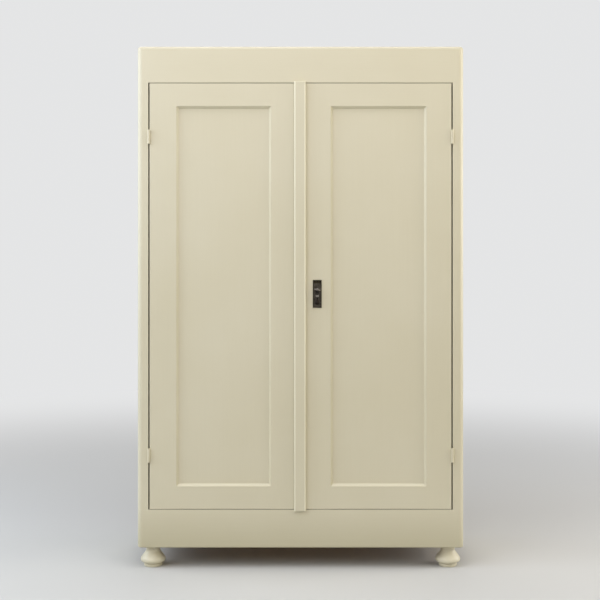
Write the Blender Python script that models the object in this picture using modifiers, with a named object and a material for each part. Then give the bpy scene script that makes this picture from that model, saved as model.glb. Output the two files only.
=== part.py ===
# Linen cupboard: a painted two-door cupboard on bun feet, with three shelves behind the doors.
# Metres, +X to the right, +Y to the back, +Z up, the floor at zero, standing over the origin.

import math

import bmesh
import bpy
from mathutils import Matrix, Vector

for old in list(bpy.data.objects):
    bpy.data.objects.remove(old, do_unlink=True)

# Overall
width = 1.190
height = 1.904
depth = 0.450
fit = 0.0003  # between pieces that touch
overrun = 0.004  # how far a cutter runs past what it cuts
near = 0.000001  # two places closer than this are one

# Feet
foot_height = 0.077
foot_inset = 0.052  # from the side and from the front or the back
spigot_radius = 0.010
spigot_length = 0.024
foot_neck_radius = 0.0275
foot_waist_radius = 0.0255
foot_waist_z = 0.062
foot_belly_radius = 0.0458
foot_belly_z = 0.0235
foot_swell_steps = 10  # from the waist out to the belly
foot_groove_radius = 0.0325
foot_groove_z = 0.014
foot_disc_radius = 0.0335
foot_disc_height = 0.012
foot_disc_round = 0.003
rear_foot_top = 0.062
rear_foot_base = 0.050
rear_foot_round = 0.002

# Carcass
side_thickness = 0.020
top_thickness = 0.022
floor_thickness = 0.020
frame_thickness = 0.024
front_stile_width = 0.0405
plinth_height = 0.139  # of the rail below the doors
frieze_height = 0.1107  # of the rail above the doors
corner_radius = 0.0185  # the upright outer edges
top_round = 0.010
bottom_round = 0.004
back_edge_round = 0.003
frame_tenon_length = 0.026
frame_tenon_thickness = 0.009
frame_tenon_shoulder = 0.018
housing_depth = 0.008
bearer_width = 0.080
bearer_thickness = 0.032
stop_depth = 0.024
stop_height = 0.032
stop_drop = 0.012  # how far the stop hangs below the top rail

# Back boards
back_thickness = 0.012
back_rebate = 0.010
back_board_count = 5
back_board_gap = 0.0006
tongue_length = 0.006
tongue_thickness = 0.004
tongue_clearance = 0.0004

# Shelves
shelf_count = 3
shelf_thickness = 0.018
shelf_setback = 0.030  # from the doors' inner faces
shelf_end_gap = 0.0005
shelf_round = 0.002
cleat_width = 0.020
cleat_height = 0.026
cleat_end_inset = 0.012

# Doors
door_gap = 0.002  # above and below
side_gap = 0.0045  # at the hinges
meeting_gap = 0.0005
meeting_bevel = 0.001  # each meeting edge is planed back towards the inside
strip_centre_x = -0.0020
strip_width = 0.0420
strip_thickness = 0.013
strip_round = 0.004
strip_bottom_lap = 0.004
strip_top_lap = 0.004
left_hinge_stile_width = 0.0979
right_hinge_stile_width = 0.0908
left_inner_arris_x = 0.1069  # from the centre line to the inner edge of the left panel's bevel
right_inner_arris_x = 0.1100
rail_height = 0.083
edge_round = 0.0012
moulding_step = 0.001  # the small step from the front face down to the bevel
moulding_width = 0.0085  # of the bevel, which is as deep as it is wide
moulding_lip = 0.001
panel_thickness = 0.008
panel_groove = 0.008
tenon_length = 0.055
tenon_thickness = 0.008
tenon_shoulder = 0.014

# Hinges
knuckle_radius = 0.0048
knuckle_height = 0.0255
knuckle_round = 0.0015
pin_radius = 0.0025
pin_clearance = 0.0003
pin_length = 0.018
leaf_thickness = 0.0012
leaf_depth = 0.022
upper_hinge_drop = 0.195  # from the door's top to the middle of the upper hinge
lower_hinge_rise = 0.196  # from the door's bottom to the middle of the lower hinge

# Lock plate
plate_width = 0.032
plate_height = 0.101
plate_thickness = 0.0026
plate_round = 0.001
plate_x = 0.061
plate_z = 1.002  # the middle, as for the key and the pull
keyhole_radius = 0.0046
keyhole_slot_width = 0.0044
keyhole_slot_length = 0.015

# Key
key_rise = 0.016  # above the plate's middle
key_tilt = math.radians(10.5)
shank_radius = 0.0031
shank_exposed = 0.010  # from the lock plate to the bow
bow_radius = 0.0092
bow_wire_radius = 0.0026
collar_radius = 0.0050
collar_length = 0.003
bit_reach = 0.0125
bit_thickness = 0.0026
bit_length = 0.007
bit_notch_length = 0.002
bit_notch_depth = 0.004

# Lock
case_wall = 0.0015
case_depth = 0.017
case_end_gap = 0.0015  # from the case to the door's edge
case_below_key = 0.0155
case_above_key = 0.0255
case_beyond_key = 0.0215
bolt_above_key = 0.008
bolt_height = 0.014
bolt_thickness = 0.008
bolt_beyond_key = 0.016
bolt_throw = 0.014  # over one full turn of the key
bit_clearance = 0.0008
keeper_wall = 0.002
keeper_length = 0.020
keeper_flange = 0.009
keeper_clearance = 0.001
keeper_end_gap = 0.0025  # from the keeper to the door's edge

# Drop pull
pull_drop = 0.008  # below the plate's middle
pull_length = 0.032
pull_radius = 0.008
pull_flat_share = 0.62
pear_steps = 6
pull_neck_radius = 0.0026
pull_eye_radius = 0.0036
pull_eye_thickness = 0.0034
post_width = 0.011
post_height = 0.009
post_depth = 0.0105
post_slot_width = 0.0042
post_back_wall = 0.0015
post_round = 0.0012
cross_pin_radius = 0.0013

# Slide bolts of the left door
slide_x = -0.066
slide_rod_radius = 0.004
slide_rod_from_door = 0.009
slide_rod_clearance = 0.0004
slide_hole_clearance = 0.0010  # in the squared holes above and below
slide_tip_gap = 0.001
slide_tip_reach = 0.016  # from the first guide to the tip
slide_tail = 0.019  # from the last guide to the other end
slide_plate_width = 0.024
slide_plate_thickness = 0.0015
slide_guide_width = 0.017
slide_guide_depth = 0.0145
slide_guide_height = 0.010
slide_guide_spacing = 0.056
slide_plate_margin = 0.006
knob_radius = 0.004
knob_reach = 0.014

# Finishes: colour, roughness and how metallic
paint_look = ((0.66, 0.61, 0.47), 0.45, 0)
pine_look = ((0.56, 0.39, 0.21), 0.65, 0)
bronze_look = ((0.055, 0.045, 0.035), 0.42, 0.8)
steel_look = ((0.32, 0.30, 0.27), 0.4, 0.9)

# Places that follow
half_width = width / 2
plate_front = plate_thickness + fit
key_reach = plate_front + shank_exposed + 2 * (bow_radius + bow_wire_radius)
front = (key_reach - depth) / 2  # the key stands out furthest, and the box over all is centred on the origin
back = front + depth
frame_back = front + frame_thickness
inside_front = frame_back + fit
inside_half_width = half_width - side_thickness
carcass_top = height - top_thickness - fit
opening_half_width = half_width - front_stile_width
opening_bottom = foot_height + plinth_height
opening_top = carcass_top - frieze_height
door_bottom = opening_bottom + door_gap
door_top = opening_top - door_gap
door_edge_x = opening_half_width - side_gap
left_outer_arris_x = door_edge_x - left_hinge_stile_width
right_outer_arris_x = door_edge_x - right_hinge_stile_width
arris_bottom = door_bottom + rail_height
arris_top = door_top - rail_height
strip_left = strip_centre_x - strip_width / 2
back_inner = back - back_thickness
shelf_front = frame_back + shelf_setback
hinge_x = opening_half_width - side_gap / 2
hinge_y = front - fit - knuckle_radius
upper_hinge_z = door_top - upper_hinge_drop
lower_hinge_z = door_bottom + lower_hinge_rise
floor_top = opening_bottom
foot_x = half_width - foot_inset
stop_bottom = opening_top - stop_drop
key_z = plate_z + key_rise
pull_z = plate_z - pull_drop

parts = bpy.data.collections.new("linen_cupboard")
cutters = bpy.data.collections.new("cutters")
bpy.context.scene.collection.children.link(parts)
bpy.context.scene.collection.children.link(cutters)


def look(name, finish):
    colour, roughness, metallic = finish
    made = bpy.data.materials.new(name)
    made.use_nodes = True
    shader = made.node_tree.nodes["Principled BSDF"]
    shader.inputs["Base Color"].default_value = (*colour, 1.0)
    shader.inputs["Roughness"].default_value = roughness
    shader.inputs["Metallic"].default_value = metallic
    return made


def painted(name):
    return look(name + "_paint", paint_look)


def bare(name):
    return look(name + "_pine", pine_look)


def bronze(name):
    return look(name + "_bronze", bronze_look)


def steel(name):
    return look(name + "_steel", steel_look)


# Shapes

def block(low, high):
    """A box between two corners."""
    low, high = Vector(low), Vector(high)
    shape = bmesh.new()
    size = Matrix.Diagonal((*(high - low), 1))
    bmesh.ops.create_cube(shape, size=1, matrix=Matrix.Translation((low + high) / 2) @ size)
    return shape


def rod(start, end, radius, sides=16):
    """A cylinder from one point to another."""
    start, end = Vector(start), Vector(end)
    turn = (end - start).to_track_quat("Z", "Y").to_matrix().to_4x4()
    shape = bmesh.new()
    bmesh.ops.create_cone(shape, cap_ends=True, segments=sides, radius1=radius, radius2=radius,
                          depth=(end - start).length, matrix=Matrix.Translation((start + end) / 2) @ turn)
    return shape


def prism(outline, run):
    """A flat outline, given as points, pushed along a vector."""
    shape = bmesh.new()
    face = shape.faces.new([shape.verts.new(point) for point in outline])
    pushed = bmesh.ops.extrude_face_region(shape, geom=[face])["geom"]
    bmesh.ops.translate(shape, vec=run, verts=[item for item in pushed if isinstance(item, bmesh.types.BMVert)])
    bmesh.ops.recalc_face_normals(shape, faces=shape.faces)
    return shape


def edges_at(shape, x=None, y=None, z=None):
    """The edges whose two ends both lie at the given places."""
    places = [(axis, place) for axis, place in enumerate((x, y, z)) if place is not None]
    return [edge for edge in shape.edges
            if all(abs(end.co[axis] - place) < near for end in edge.verts for axis, place in places)]


def round_edges(shape, edges, radius, steps):
    bmesh.ops.bevel(shape, geom=edges, offset=radius, offset_type="OFFSET", segments=steps, profile=0.5,
                    affect="EDGES", clamp_overlap=True)


def add(name, shape, material, origin=None, carrier=None, smooth=False):
    """Makes the named object, its origin at the given place or at its own middle."""
    mesh = bpy.data.meshes.new(name)
    if origin is None:
        corners = [vert.co for vert in shape.verts]
        low = Vector([min(corner[axis] for corner in corners) for axis in range(3)])
        high = Vector([max(corner[axis] for corner in corners) for axis in range(3)])
        origin = (low + high) / 2
    bmesh.ops.translate(shape, vec=-Vector(origin), verts=shape.verts)
    shape.to_mesh(mesh)
    shape.free()
    if smooth:
        mesh.shade_smooth()
        mesh.set_sharp_from_angle(angle=math.radians(40))
    made = bpy.data.objects.new(name, mesh)
    made.location = origin
    made.data.materials.append(material)
    parts.objects.link(made)
    if carrier:
        made.parent = carrier
        made.matrix_parent_inverse = Matrix.Translation(-carrier.location)
    return made


def shape_with(target, shape, operation):
    """Cuts a shape from an object, or joins it on, with a hidden helper."""
    name = f"{target.name}_{operation.lower()}_{len(target.modifiers)}"
    mesh = bpy.data.meshes.new(name)
    shape.to_mesh(mesh)
    shape.free()
    helper = bpy.data.objects.new(name, mesh)
    helper.hide_render = True
    helper.display_type = "WIRE"
    cutters.objects.link(helper)
    boolean = target.modifiers.new(name, "BOOLEAN")
    boolean.operation = operation
    boolean.object = helper


def cut(target, shape):
    shape_with(target, shape, "DIFFERENCE")


def join(target, shape):
    shape_with(target, shape, "UNION")


def arc(centre_radius, centre_z, reach, rise, start, end, steps):
    """Profile points along a quarter or part of an ellipse, angles in degrees from outwards to up."""
    angles = [math.radians(start + (end - start) * step / steps) for step in range(steps + 1)]
    return [(centre_radius + reach * math.cos(angle), centre_z + rise * math.sin(angle)) for angle in angles]


def turned(name, profile, material, origin, carrier=None, sides=32):
    """A profile of radius and height, top to bottom down its outer side, turned about the upright axis."""
    mesh = bpy.data.meshes.new(name)
    points = [(radius, 0, level) for radius, level in profile]
    mesh.from_pydata(points, [(step, step + 1) for step in range(len(points) - 1)], [])
    made = bpy.data.objects.new(name, mesh)
    made.location = origin
    made.data.materials.append(material)
    parts.objects.link(made)
    screw = made.modifiers.new("turn", "SCREW")
    screw.steps = sides
    screw.render_steps = sides
    screw.use_merge_vertices = True
    screw.merge_threshold = 0.00001
    screw.use_smooth_shade = True
    if carrier:
        made.parent = carrier
        made.matrix_parent_inverse = Matrix.Translation(-carrier.location)
    return made


def pivot(name, place):
    """An empty on a joint's axis, which carries what turns there."""
    made = bpy.data.objects.new(name, None)
    made.location = place
    made.empty_display_size = knuckle_height
    parts.objects.link(made)
    return made


# Carcass

def side_panel(side, name):
    shape = block((min(side * half_width, side * inside_half_width), inside_front, foot_height),
                  (max(side * half_width, side * inside_half_width), back, carcass_top))
    round_edges(shape, edges_at(shape, x=side * half_width, y=back), back_edge_round, 3)
    round_edges(shape, edges_at(shape, x=side * half_width, z=foot_height), bottom_round, 3)
    panel = add(name, shape, painted(name), smooth=True)
    rebate_x = sorted((side * (inside_half_width - overrun), side * (inside_half_width + back_rebate)))
    cut(panel, block((rebate_x[0], back_inner - fit, foot_height - overrun),
                     (rebate_x[1], back + overrun, carcass_top + overrun)))
    housing_x = sorted((side * (inside_half_width - overrun), side * (inside_half_width + housing_depth)))
    cut(panel, block((housing_x[0], inside_front - overrun, floor_top - floor_thickness - fit),
                     (housing_x[1], back_inner, floor_top + fit)))


def frame_tenon(low_z, high_z, ease):
    """The bar that runs through a rail of the front frame and stands out at both ends as its tenons."""
    middle = (front + frame_back) / 2
    reach = opening_half_width + frame_tenon_length + ease
    half = frame_tenon_thickness / 2 + ease
    return block((-reach, middle - half, low_z + frame_tenon_shoulder - ease),
                 (reach, middle + half, high_z - frame_tenon_shoulder + ease))


def front_stile(side, name):
    xs = sorted((side * half_width, side * opening_half_width))
    shape = block((xs[0], front, foot_height), (xs[1], frame_back, carcass_top))
    round_edges(shape, edges_at(shape, x=side * half_width, y=front), corner_radius, 7)
    lower = [edge for edge in edges_at(shape, z=foot_height)
             if edge not in edges_at(shape, x=side * opening_half_width) + edges_at(shape, y=frame_back)]
    round_edges(shape, lower, bottom_round, 3)
    stile = add(name, shape, painted(name), smooth=True)
    cut(stile, frame_tenon(foot_height, opening_bottom, fit))
    cut(stile, frame_tenon(opening_top, carcass_top, fit))


def frame_rail(name, low_z, high_z):
    reach = opening_half_width - fit
    shape = block((-reach, front, low_z), (reach, frame_back, high_z))
    if low_z == foot_height:
        round_edges(shape, edges_at(shape, y=front, z=low_z), bottom_round, 3)
    rail = add(name, shape, painted(name), smooth=True)
    join(rail, frame_tenon(low_z, high_z, 0))


def top_board():
    shape = block((-half_width, front, height - top_thickness), (half_width, back, height))
    for side in (-1, 1):
        round_edges(shape, edges_at(shape, x=side * half_width, y=front), corner_radius, 7)
    upper = [edge for edge in edges_at(shape, z=height) if edge not in edges_at(shape, y=back)]
    round_edges(shape, upper, top_round, 6)
    add("top_board", shape, painted("top_board"), smooth=True)


def floor_board():
    reach = inside_half_width + housing_depth - fit
    floor = add("floor_board", block((-reach, inside_front, floor_top - floor_thickness),
                                     (reach, back_inner - fit, floor_top)), bare("floor_board"))
    cut(floor, slide_hole(floor_top - floor_thickness, floor_top))


def slide_rod_place():
    return slide_x, frame_back + slide_rod_from_door


def slide_hole(low_z, high_z):
    """The squared hole that a slide bolt's end runs into."""
    x, y = slide_rod_place()
    half = slide_rod_radius + slide_hole_clearance
    return block((x - half, y - half, low_z - overrun), (x + half, y + half, high_z + overrun))


def door_stop():
    reach = inside_half_width - fit
    stop = add("door_stop", block((-reach, inside_front, stop_bottom),
                                  (reach, inside_front + stop_depth, stop_bottom + stop_height)), bare("door_stop"))
    cut(stop, slide_hole(stop_bottom, stop_bottom + stop_height))


def foot_places(side):
    """Where the front and the rear foot of one side stand."""
    return (side * foot_x, front + foot_inset), (side * foot_x, back - foot_inset)


def foot_bearer(side, name):
    xs = sorted((side * (inside_half_width - fit), side * (inside_half_width - bearer_width)))
    bearer = add(name, block((xs[0], inside_front, foot_height),
                             (xs[1], back_inner - fit, foot_height + bearer_thickness)), bare(name))
    for place in foot_places(side):
        cut(bearer, rod((*place, foot_height - overrun), (*place, foot_height + bearer_thickness + overrun),
                        spigot_radius + fit, 32))


def back_boards():
    """Upright boards in the rebates of the side panels, each with a tongue in its neighbour's groove."""
    left = -(inside_half_width + back_rebate - fit)
    pitch = -2 * left / back_board_count
    middle = back - back_thickness / 2
    half_tongue = tongue_thickness / 2
    half_groove = half_tongue + tongue_clearance
    for index in range(back_board_count):
        start = left + index * pitch
        end = start + pitch - back_board_gap
        right_side = [(end, back_inner), (end, back)]
        left_side = [(start, back), (start, back_inner)]
        if index < back_board_count - 1:
            tip = end + tongue_length
            right_side[1:1] = [(end, middle - half_tongue), (tip, middle - half_tongue),
                               (tip, middle + half_tongue), (end, middle + half_tongue)]
        else:
            right_side = [(start + pitch, back_inner), (start + pitch, back)]
        if index:
            pocket = start + tongue_length + tongue_clearance
            left_side[1:1] = [(start, middle + half_groove), (pocket, middle + half_groove),
                              (pocket, middle - half_groove), (start, middle - half_groove)]
        outline = [(x, y, foot_height) for x, y in right_side + left_side]
        name = f"back_board_{index + 1}"
        add(name, prism(outline, (0, 0, carcass_top - foot_height)), bare(name))


def shelves():
    pitch = (carcass_top - floor_top) / (shelf_count + 1)
    reach = inside_half_width - shelf_end_gap
    for index in range(shelf_count):
        top = floor_top + pitch * (index + 1)
        under = top - shelf_thickness
        name = f"shelf_{index + 1}"
        shape = block((-reach, shelf_front, under), (reach, back_inner - fit, top))
        round_edges(shape, edges_at(shape, y=shelf_front), shelf_round, 2)
        add(name, shape, bare(name))
        for side, hand in ((-1, "left"), (1, "right")):
            xs = sorted((side * (inside_half_width - fit), side * (inside_half_width - cleat_width)))
            cleat = f"{hand}_shelf_cleat_{index + 1}"
            add(cleat, block((xs[0], shelf_front + cleat_end_inset, under - fit - cleat_height),
                             (xs[1], back_inner - fit, under - fit)), bare(cleat))


# Feet

def front_foot(place, name):
    """A bun foot: spigot, flared neck, low belly, groove and base disc."""
    belly_low = foot_belly_z - foot_groove_z
    neck_top = foot_height - fit
    profile = [(0, foot_height + spigot_length), (spigot_radius, foot_height + spigot_length)]
    profile += [(spigot_radius, neck_top)]
    profile += arc(foot_neck_radius, foot_waist_z, foot_waist_radius - foot_neck_radius,
                   neck_top - foot_waist_z, 90, 0, 3)
    for step in range(1, foot_swell_steps + 1):
        share = step / foot_swell_steps
        swell = (1 - math.cos(math.pi * share)) / 2
        profile += [(foot_waist_radius + (foot_belly_radius - foot_waist_radius) * swell,
                     foot_waist_z - (foot_waist_z - foot_belly_z) * share)]
    profile += arc(foot_groove_radius, foot_belly_z, foot_belly_radius - foot_groove_radius,
                   -belly_low, 15, 90, 5)
    profile += [(foot_groove_radius, foot_disc_height)]
    profile += arc(foot_disc_radius - foot_disc_round, foot_disc_height - foot_disc_round,
                   foot_disc_round, foot_disc_round, 90, 0, 3)
    profile += [(foot_disc_radius, foot_disc_round)]
    profile += arc(foot_disc_radius - foot_disc_round, foot_disc_round, foot_disc_round, -foot_disc_round, 30, 90, 2)
    profile += [(0, 0)]
    turned(name, profile, painted(name), (*place, 0))


def rear_foot(place, name):
    """A plain square foot that tapers to the floor."""
    x, y = place
    half = rear_foot_top / 2
    shape = block((x - half, y - half, 0), (x + half, y + half, foot_height - fit))
    base = [vert for vert in shape.verts if abs(vert.co.z) < near]
    taper = rear_foot_base / rear_foot_top
    bmesh.ops.scale(shape, vec=(taper, taper, 1), verts=base, space=Matrix.Translation((-x, -y, 0)))
    round_edges(shape, edges_at(shape, z=0), rear_foot_round, 2)
    foot = add(name, shape, painted(name))
    join(foot, rod((x, y, foot_height / 2), (x, y, foot_height + spigot_length), spigot_radius, 32))


# Hinges

def leaf(side, low_x, high_x, centre_z, knuckle_low):
    """A flat leaf in the gap beside the door, with the neck that reaches forward to its own knuckle."""
    xs = sorted((side * low_x, side * high_x))
    leaf_front = front + fit
    plate = block((xs[0], leaf_front, centre_z - knuckle_height),
                  (xs[1], leaf_front + leaf_depth, centre_z + knuckle_height))
    neck = block((xs[0], hinge_y, knuckle_low + fit), (xs[1], leaf_front + leaf_depth / 2,
                                                       knuckle_low + knuckle_height - 2 * fit))
    return plate, neck


def hinge(side, name, centre_z, carrier):
    """A lift-off hinge: the lower knuckle and its pin on the frame, the upper knuckle on the door."""
    place = (side * hinge_x, hinge_y, 0)
    low = centre_z - knuckle_height
    high = centre_z + knuckle_height
    inner = knuckle_radius - knuckle_round
    frame_profile = [(0, centre_z + pin_length), (pin_radius, centre_z + pin_length), (pin_radius, centre_z - fit)]
    frame_profile += [(knuckle_radius, centre_z - fit)]
    frame_profile += arc(inner, low + knuckle_round, knuckle_round, -knuckle_round, 0, 90, 3)
    frame_profile += [(0, low)]
    frame_name = name + "_frame_hinge"
    frame_half = turned(frame_name, frame_profile, painted(frame_name), place, sides=20)
    outer_x = opening_half_width - fit
    for shape in leaf(side, outer_x, outer_x - leaf_thickness, centre_z, low):
        join(frame_half, shape)
    bore = pin_radius + pin_clearance
    door_profile = [(0, high)]
    door_profile += arc(inner, high - knuckle_round, knuckle_round, knuckle_round, 90, 0, 3)
    door_profile += [(knuckle_radius, centre_z), (bore, centre_z), (bore, centre_z + pin_length + fit)]
    door_profile += [(0, centre_z + pin_length + fit)]
    door_name = name + "_door_hinge"
    door_half = turned(door_name, door_profile, painted(door_name), place, carrier, sides=20)
    inner_x = door_edge_x + fit
    for shape in leaf(side, inner_x, inner_x + leaf_thickness, centre_z, centre_z):
        join(door_half, shape)
    cut(door_half, rod((side * hinge_x, hinge_y, centre_z - overrun),
                       (side * hinge_x, hinge_y, centre_z + pin_length + fit), bore, 20))


# Doors

def arris_places(side):
    """Where a door's outer and inner upright bevels start, from the centre line."""
    if side < 0:
        return -left_outer_arris_x, -left_inner_arris_x
    return right_outer_arris_x, right_inner_arris_x


def door_frame_outlines(side, meeting_x):
    """Front views of a door's two stiles and two rails, mitred where their bevels meet."""
    outer, inner = arris_places(side)
    outer_sight = outer - side * moulding_width
    inner_sight = inner + side * moulding_width
    ease = fit / 2  # keeps the mitres off the corner lines of the cut bevels
    low_mitre, high_mitre = arris_bottom - ease, arris_top + ease
    low_sight = low_mitre + moulding_width
    high_sight = high_mitre - moulding_width
    hinge_stile = [(side * door_edge_x, door_bottom), (outer, door_bottom), (outer, low_mitre),
                   (outer_sight, low_sight), (outer_sight, high_sight), (outer, high_mitre),
                   (outer, door_top), (side * door_edge_x, door_top)]
    meeting_stile = [(meeting_x, door_bottom), (inner, door_bottom), (inner, low_mitre),
                     (inner_sight, low_sight), (inner_sight, high_sight), (inner, high_mitre),
                     (inner, door_top), (meeting_x, door_top)]
    outer, outer_sight = outer - side * fit, outer_sight - side * fit
    inner, inner_sight = inner + side * fit, inner_sight + side * fit
    bottom_rail = [(outer, door_bottom), (inner, door_bottom), (inner, low_mitre),
                   (inner_sight, low_sight), (outer_sight, low_sight), (outer, low_mitre)]
    top_rail = [(outer, door_top), (inner, door_top), (inner, high_mitre),
                (inner_sight, high_sight), (outer_sight, high_sight), (outer, high_mitre)]
    return hinge_stile, meeting_stile, bottom_rail, top_rail


def front_view(outline):
    return prism([(x, front, z) for x, z in outline], (0, frame_thickness, 0))


def moulding_cutter(xs):
    """What the bevels leave open in front of the panel, from the front face to their foot."""
    reach = moulding_width + fit
    deep = front + moulding_step + reach
    shape = block((xs[0], front - overrun, arris_bottom), (xs[1], deep, arris_top))
    round_edges(shape, edges_at(shape, y=deep), reach, 1)
    return shape


def rail_tenon(xs, low_z, high_z, ease):
    """The bar that runs through a door rail and stands out at both ends as its tenons."""
    middle = (front + frame_back) / 2
    half = tenon_thickness / 2 + ease
    return block((xs[0] - tenon_length - ease, middle - half, low_z + tenon_shoulder - ease),
                 (xs[1] + tenon_length + ease, middle + half, high_z - tenon_shoulder + ease))


def panel_box(xs, ease):
    """The panel, which lies in the groove behind the moulding."""
    grow = panel_groove - moulding_width + ease
    face = front + moulding_step + moulding_width + moulding_lip
    return block((xs[0] - grow, face - ease, arris_bottom - grow),
                 (xs[1] + grow, face + panel_thickness + ease, arris_top + grow))


def door(side, hand, meeting_x, carrier):
    """Two stiles, two tenoned rails and a panel in their grooves. Returns the meeting stile."""
    outlines = door_frame_outlines(side, meeting_x)
    xs = sorted(arris_places(side))
    rails = ((door_bottom, arris_bottom), (arris_top, door_top))
    stiles = []
    for name, outline, edge_x in ((f"{hand}_door_hinge_stile", outlines[0], side * door_edge_x),
                                  (f"{hand}_door_meeting_stile", outlines[1], meeting_x)):
        shape = front_view(outline)
        if edge_x == meeting_x:
            for vert in shape.verts:
                if abs(vert.co.x - meeting_x) < near and vert.co.y > front:
                    vert.co.x += side * meeting_bevel
        else:
            round_edges(shape, edges_at(shape, x=edge_x, y=front), edge_round, 2)
        stile = add(name, shape, painted(name), carrier=carrier)
        for low_z, high_z in rails:
            cut(stile, rail_tenon(xs, low_z, high_z, fit))
        stiles.append(stile)
    for name, outline, (low_z, high_z) in ((f"{hand}_door_bottom_rail", outlines[2], rails[0]),
                                           (f"{hand}_door_top_rail", outlines[3], rails[1])):
        rail = add(name, front_view(outline), painted(name), carrier=carrier)
        join(rail, rail_tenon(xs, low_z, high_z, 0))
        stiles.append(rail)
    for piece in stiles:
        cut(piece, moulding_cutter(xs))
        cut(piece, panel_box(xs, fit))
    name = f"{hand}_door_panel"
    add(name, panel_box(xs, 0), painted(name), carrier=carrier)
    return stiles[1]


def meeting_strip(carrier):
    """The proud strip along the right door's meeting edge."""
    strip_front = front - fit - strip_thickness
    shape = block((strip_left, strip_front, opening_bottom - strip_bottom_lap),
                  (strip_left + strip_width, front - fit, opening_top + strip_top_lap))
    round_edges(shape, edges_at(shape, y=strip_front), strip_round, 3)
    add("meeting_strip", shape, painted("meeting_strip"), carrier=carrier, smooth=True)


# Lock, key and pull

def keyhole(start_y, end_y):
    """A round hole with a slot below it that lets the key's bit through."""
    slot_half = keyhole_slot_width / 2
    return (rod((plate_x, start_y, key_z), (plate_x, end_y, key_z), keyhole_radius),
            block((plate_x - slot_half, start_y, key_z - keyhole_slot_length), (plate_x + slot_half, end_y, key_z)))


def lock_plate(carrier):
    half = plate_width / 2
    face = front - fit - plate_thickness
    low = plate_z - plate_height / 2
    shape = block((plate_x - half, face, low), (plate_x + half, front - fit, low + plate_height))
    round_edges(shape, edges_at(shape, y=face), plate_round, 2)
    plate = add("lock_plate", shape, bronze("lock_plate"), carrier=carrier, smooth=True)
    for shape in keyhole(face - overrun, front + overrun):
        cut(plate, shape)


bolt_ratio = bolt_throw / math.tau  # the lock bolt's travel for each radian of the key
case_left = strip_left + case_end_gap
bit_start = frame_back + fit + case_wall + bit_clearance
bolt_start = frame_back + (case_depth - bolt_thickness) / 2


def lock_case(carrier):
    """A rim lock's case on the inner face of the door, open towards the door."""
    low = (case_left, frame_back + fit, key_z - case_below_key)
    high = (plate_x + case_beyond_key, frame_back + fit + case_depth, key_z + case_above_key)
    wall = Vector((case_wall, 0, case_wall))
    inner_low = Vector(low) + wall
    inner_high = Vector(high) - wall
    inner_low.y -= overrun
    inner_high.y -= case_wall
    case = add("lock_case", block(low, high), steel("lock_case"), carrier=carrier)
    cut(case, block(inner_low, inner_high))
    cut(case, block((case_left - overrun, bolt_start - fit, key_z + bolt_above_key - fit),
                    (case_left + case_wall + overrun, bolt_start + bolt_thickness + fit,
                     key_z + bolt_above_key + bolt_height + fit)))
    cut(case, rod((plate_x, inner_high.y - overrun, key_z), (plate_x, high[1] + overrun, key_z),
                  shank_radius + pin_clearance))


def lock_bolt(carrier):
    """A bar above the key with a notch that the key's bit turns through while it moves the bar."""
    low = Vector((case_left, bolt_start, key_z + bolt_above_key))
    high = Vector((plate_x + bolt_beyond_key, bolt_start + bolt_thickness, key_z + bolt_above_key + bolt_height))
    bolt = add("lock_bolt", block(low, high), steel("lock_bolt"), carrier=carrier)
    meet = math.asin(bolt_above_key / bit_reach)
    sweep = bit_reach * math.cos(meet) + bit_thickness / 2 + bit_clearance
    early = bolt_ratio * (meet + key_tilt)
    late = bolt_ratio * (math.pi - meet + key_tilt)
    cut(bolt, block((plate_x - sweep + late, bolt_start - overrun, low.z - overrun),
                    (plate_x + sweep + early, high.y + overrun, key_z + bit_reach + bit_clearance)))


def lock_keeper(carrier):
    """A bridge on the left door's inner face that the lock bolt slides under."""
    right = strip_left - meeting_gap - keeper_end_gap
    base = frame_back + fit
    low = key_z + bolt_above_key - keeper_clearance
    high = key_z + bolt_above_key + bolt_height + keeper_clearance
    roof = bolt_start + bolt_thickness + keeper_clearance
    outer = [(base, low - keeper_wall - keeper_flange), (base + keeper_wall, low - keeper_wall - keeper_flange),
             (base + keeper_wall, low - keeper_wall), (roof + keeper_wall, low - keeper_wall)]
    inner = [(roof, low), (base, low)]
    middle = low + high
    mirrored = [(y, middle - z) for y, z in reversed(outer)]
    inner_mirrored = [(y, middle - z) for y, z in reversed(inner)]
    outline = outer + mirrored + inner_mirrored + inner
    shape = prism([(right - keeper_length, y, z) for y, z in outline], (keeper_length, 0, 0))
    add("lock_keeper", shape, steel("lock_keeper"), carrier=carrier)


def key(carrier):
    """Ring bow, collar, shank and bit. Its flat lies along X and Y before it is tilted about its axis."""
    face = -plate_front
    bow_y = face - shank_exposed - bow_wire_radius - bow_radius
    tip = frame_thickness + fit + case_depth - case_wall / 2
    shank = rod((0, bow_y + bow_radius, 0), (0, tip, 0), shank_radius)
    made = add("key", shank, steel("key"), origin=(0, 0, 0), smooth=True)
    made.location = (plate_x, front, key_z)
    made.rotation_euler = (0, key_tilt, 0)
    made.parent = carrier
    made.matrix_parent_inverse = Matrix.Translation(-carrier.location)
    bit_y = bit_start - front
    bit_end = bit_y + bit_length
    collar_y = face - collar_length - fit
    notch_y = (bit_y + bit_end - bit_notch_length) / 2
    ring = bmesh.new()
    ring.from_mesh(ring_mesh(bow_radius, bow_wire_radius))
    ring.transform(Matrix.Translation((0, bow_y, 0)))
    bit = block((0, bit_y, -bit_thickness / 2), (bit_reach, bit_end, bit_thickness / 2))
    notch = block((bit_reach - bit_notch_depth, notch_y, -bit_thickness),
                  (bit_reach + overrun, notch_y + bit_notch_length, bit_thickness))
    collar = rod((0, collar_y, 0), (0, collar_y + collar_length, 0), collar_radius)
    placed = Matrix.Translation(made.location) @ Matrix.Rotation(key_tilt, 4, "Y")
    for shape, work in ((ring, join), (bit, join), (notch, cut), (collar, join)):
        shape.transform(placed)
        work(made, shape)


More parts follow.
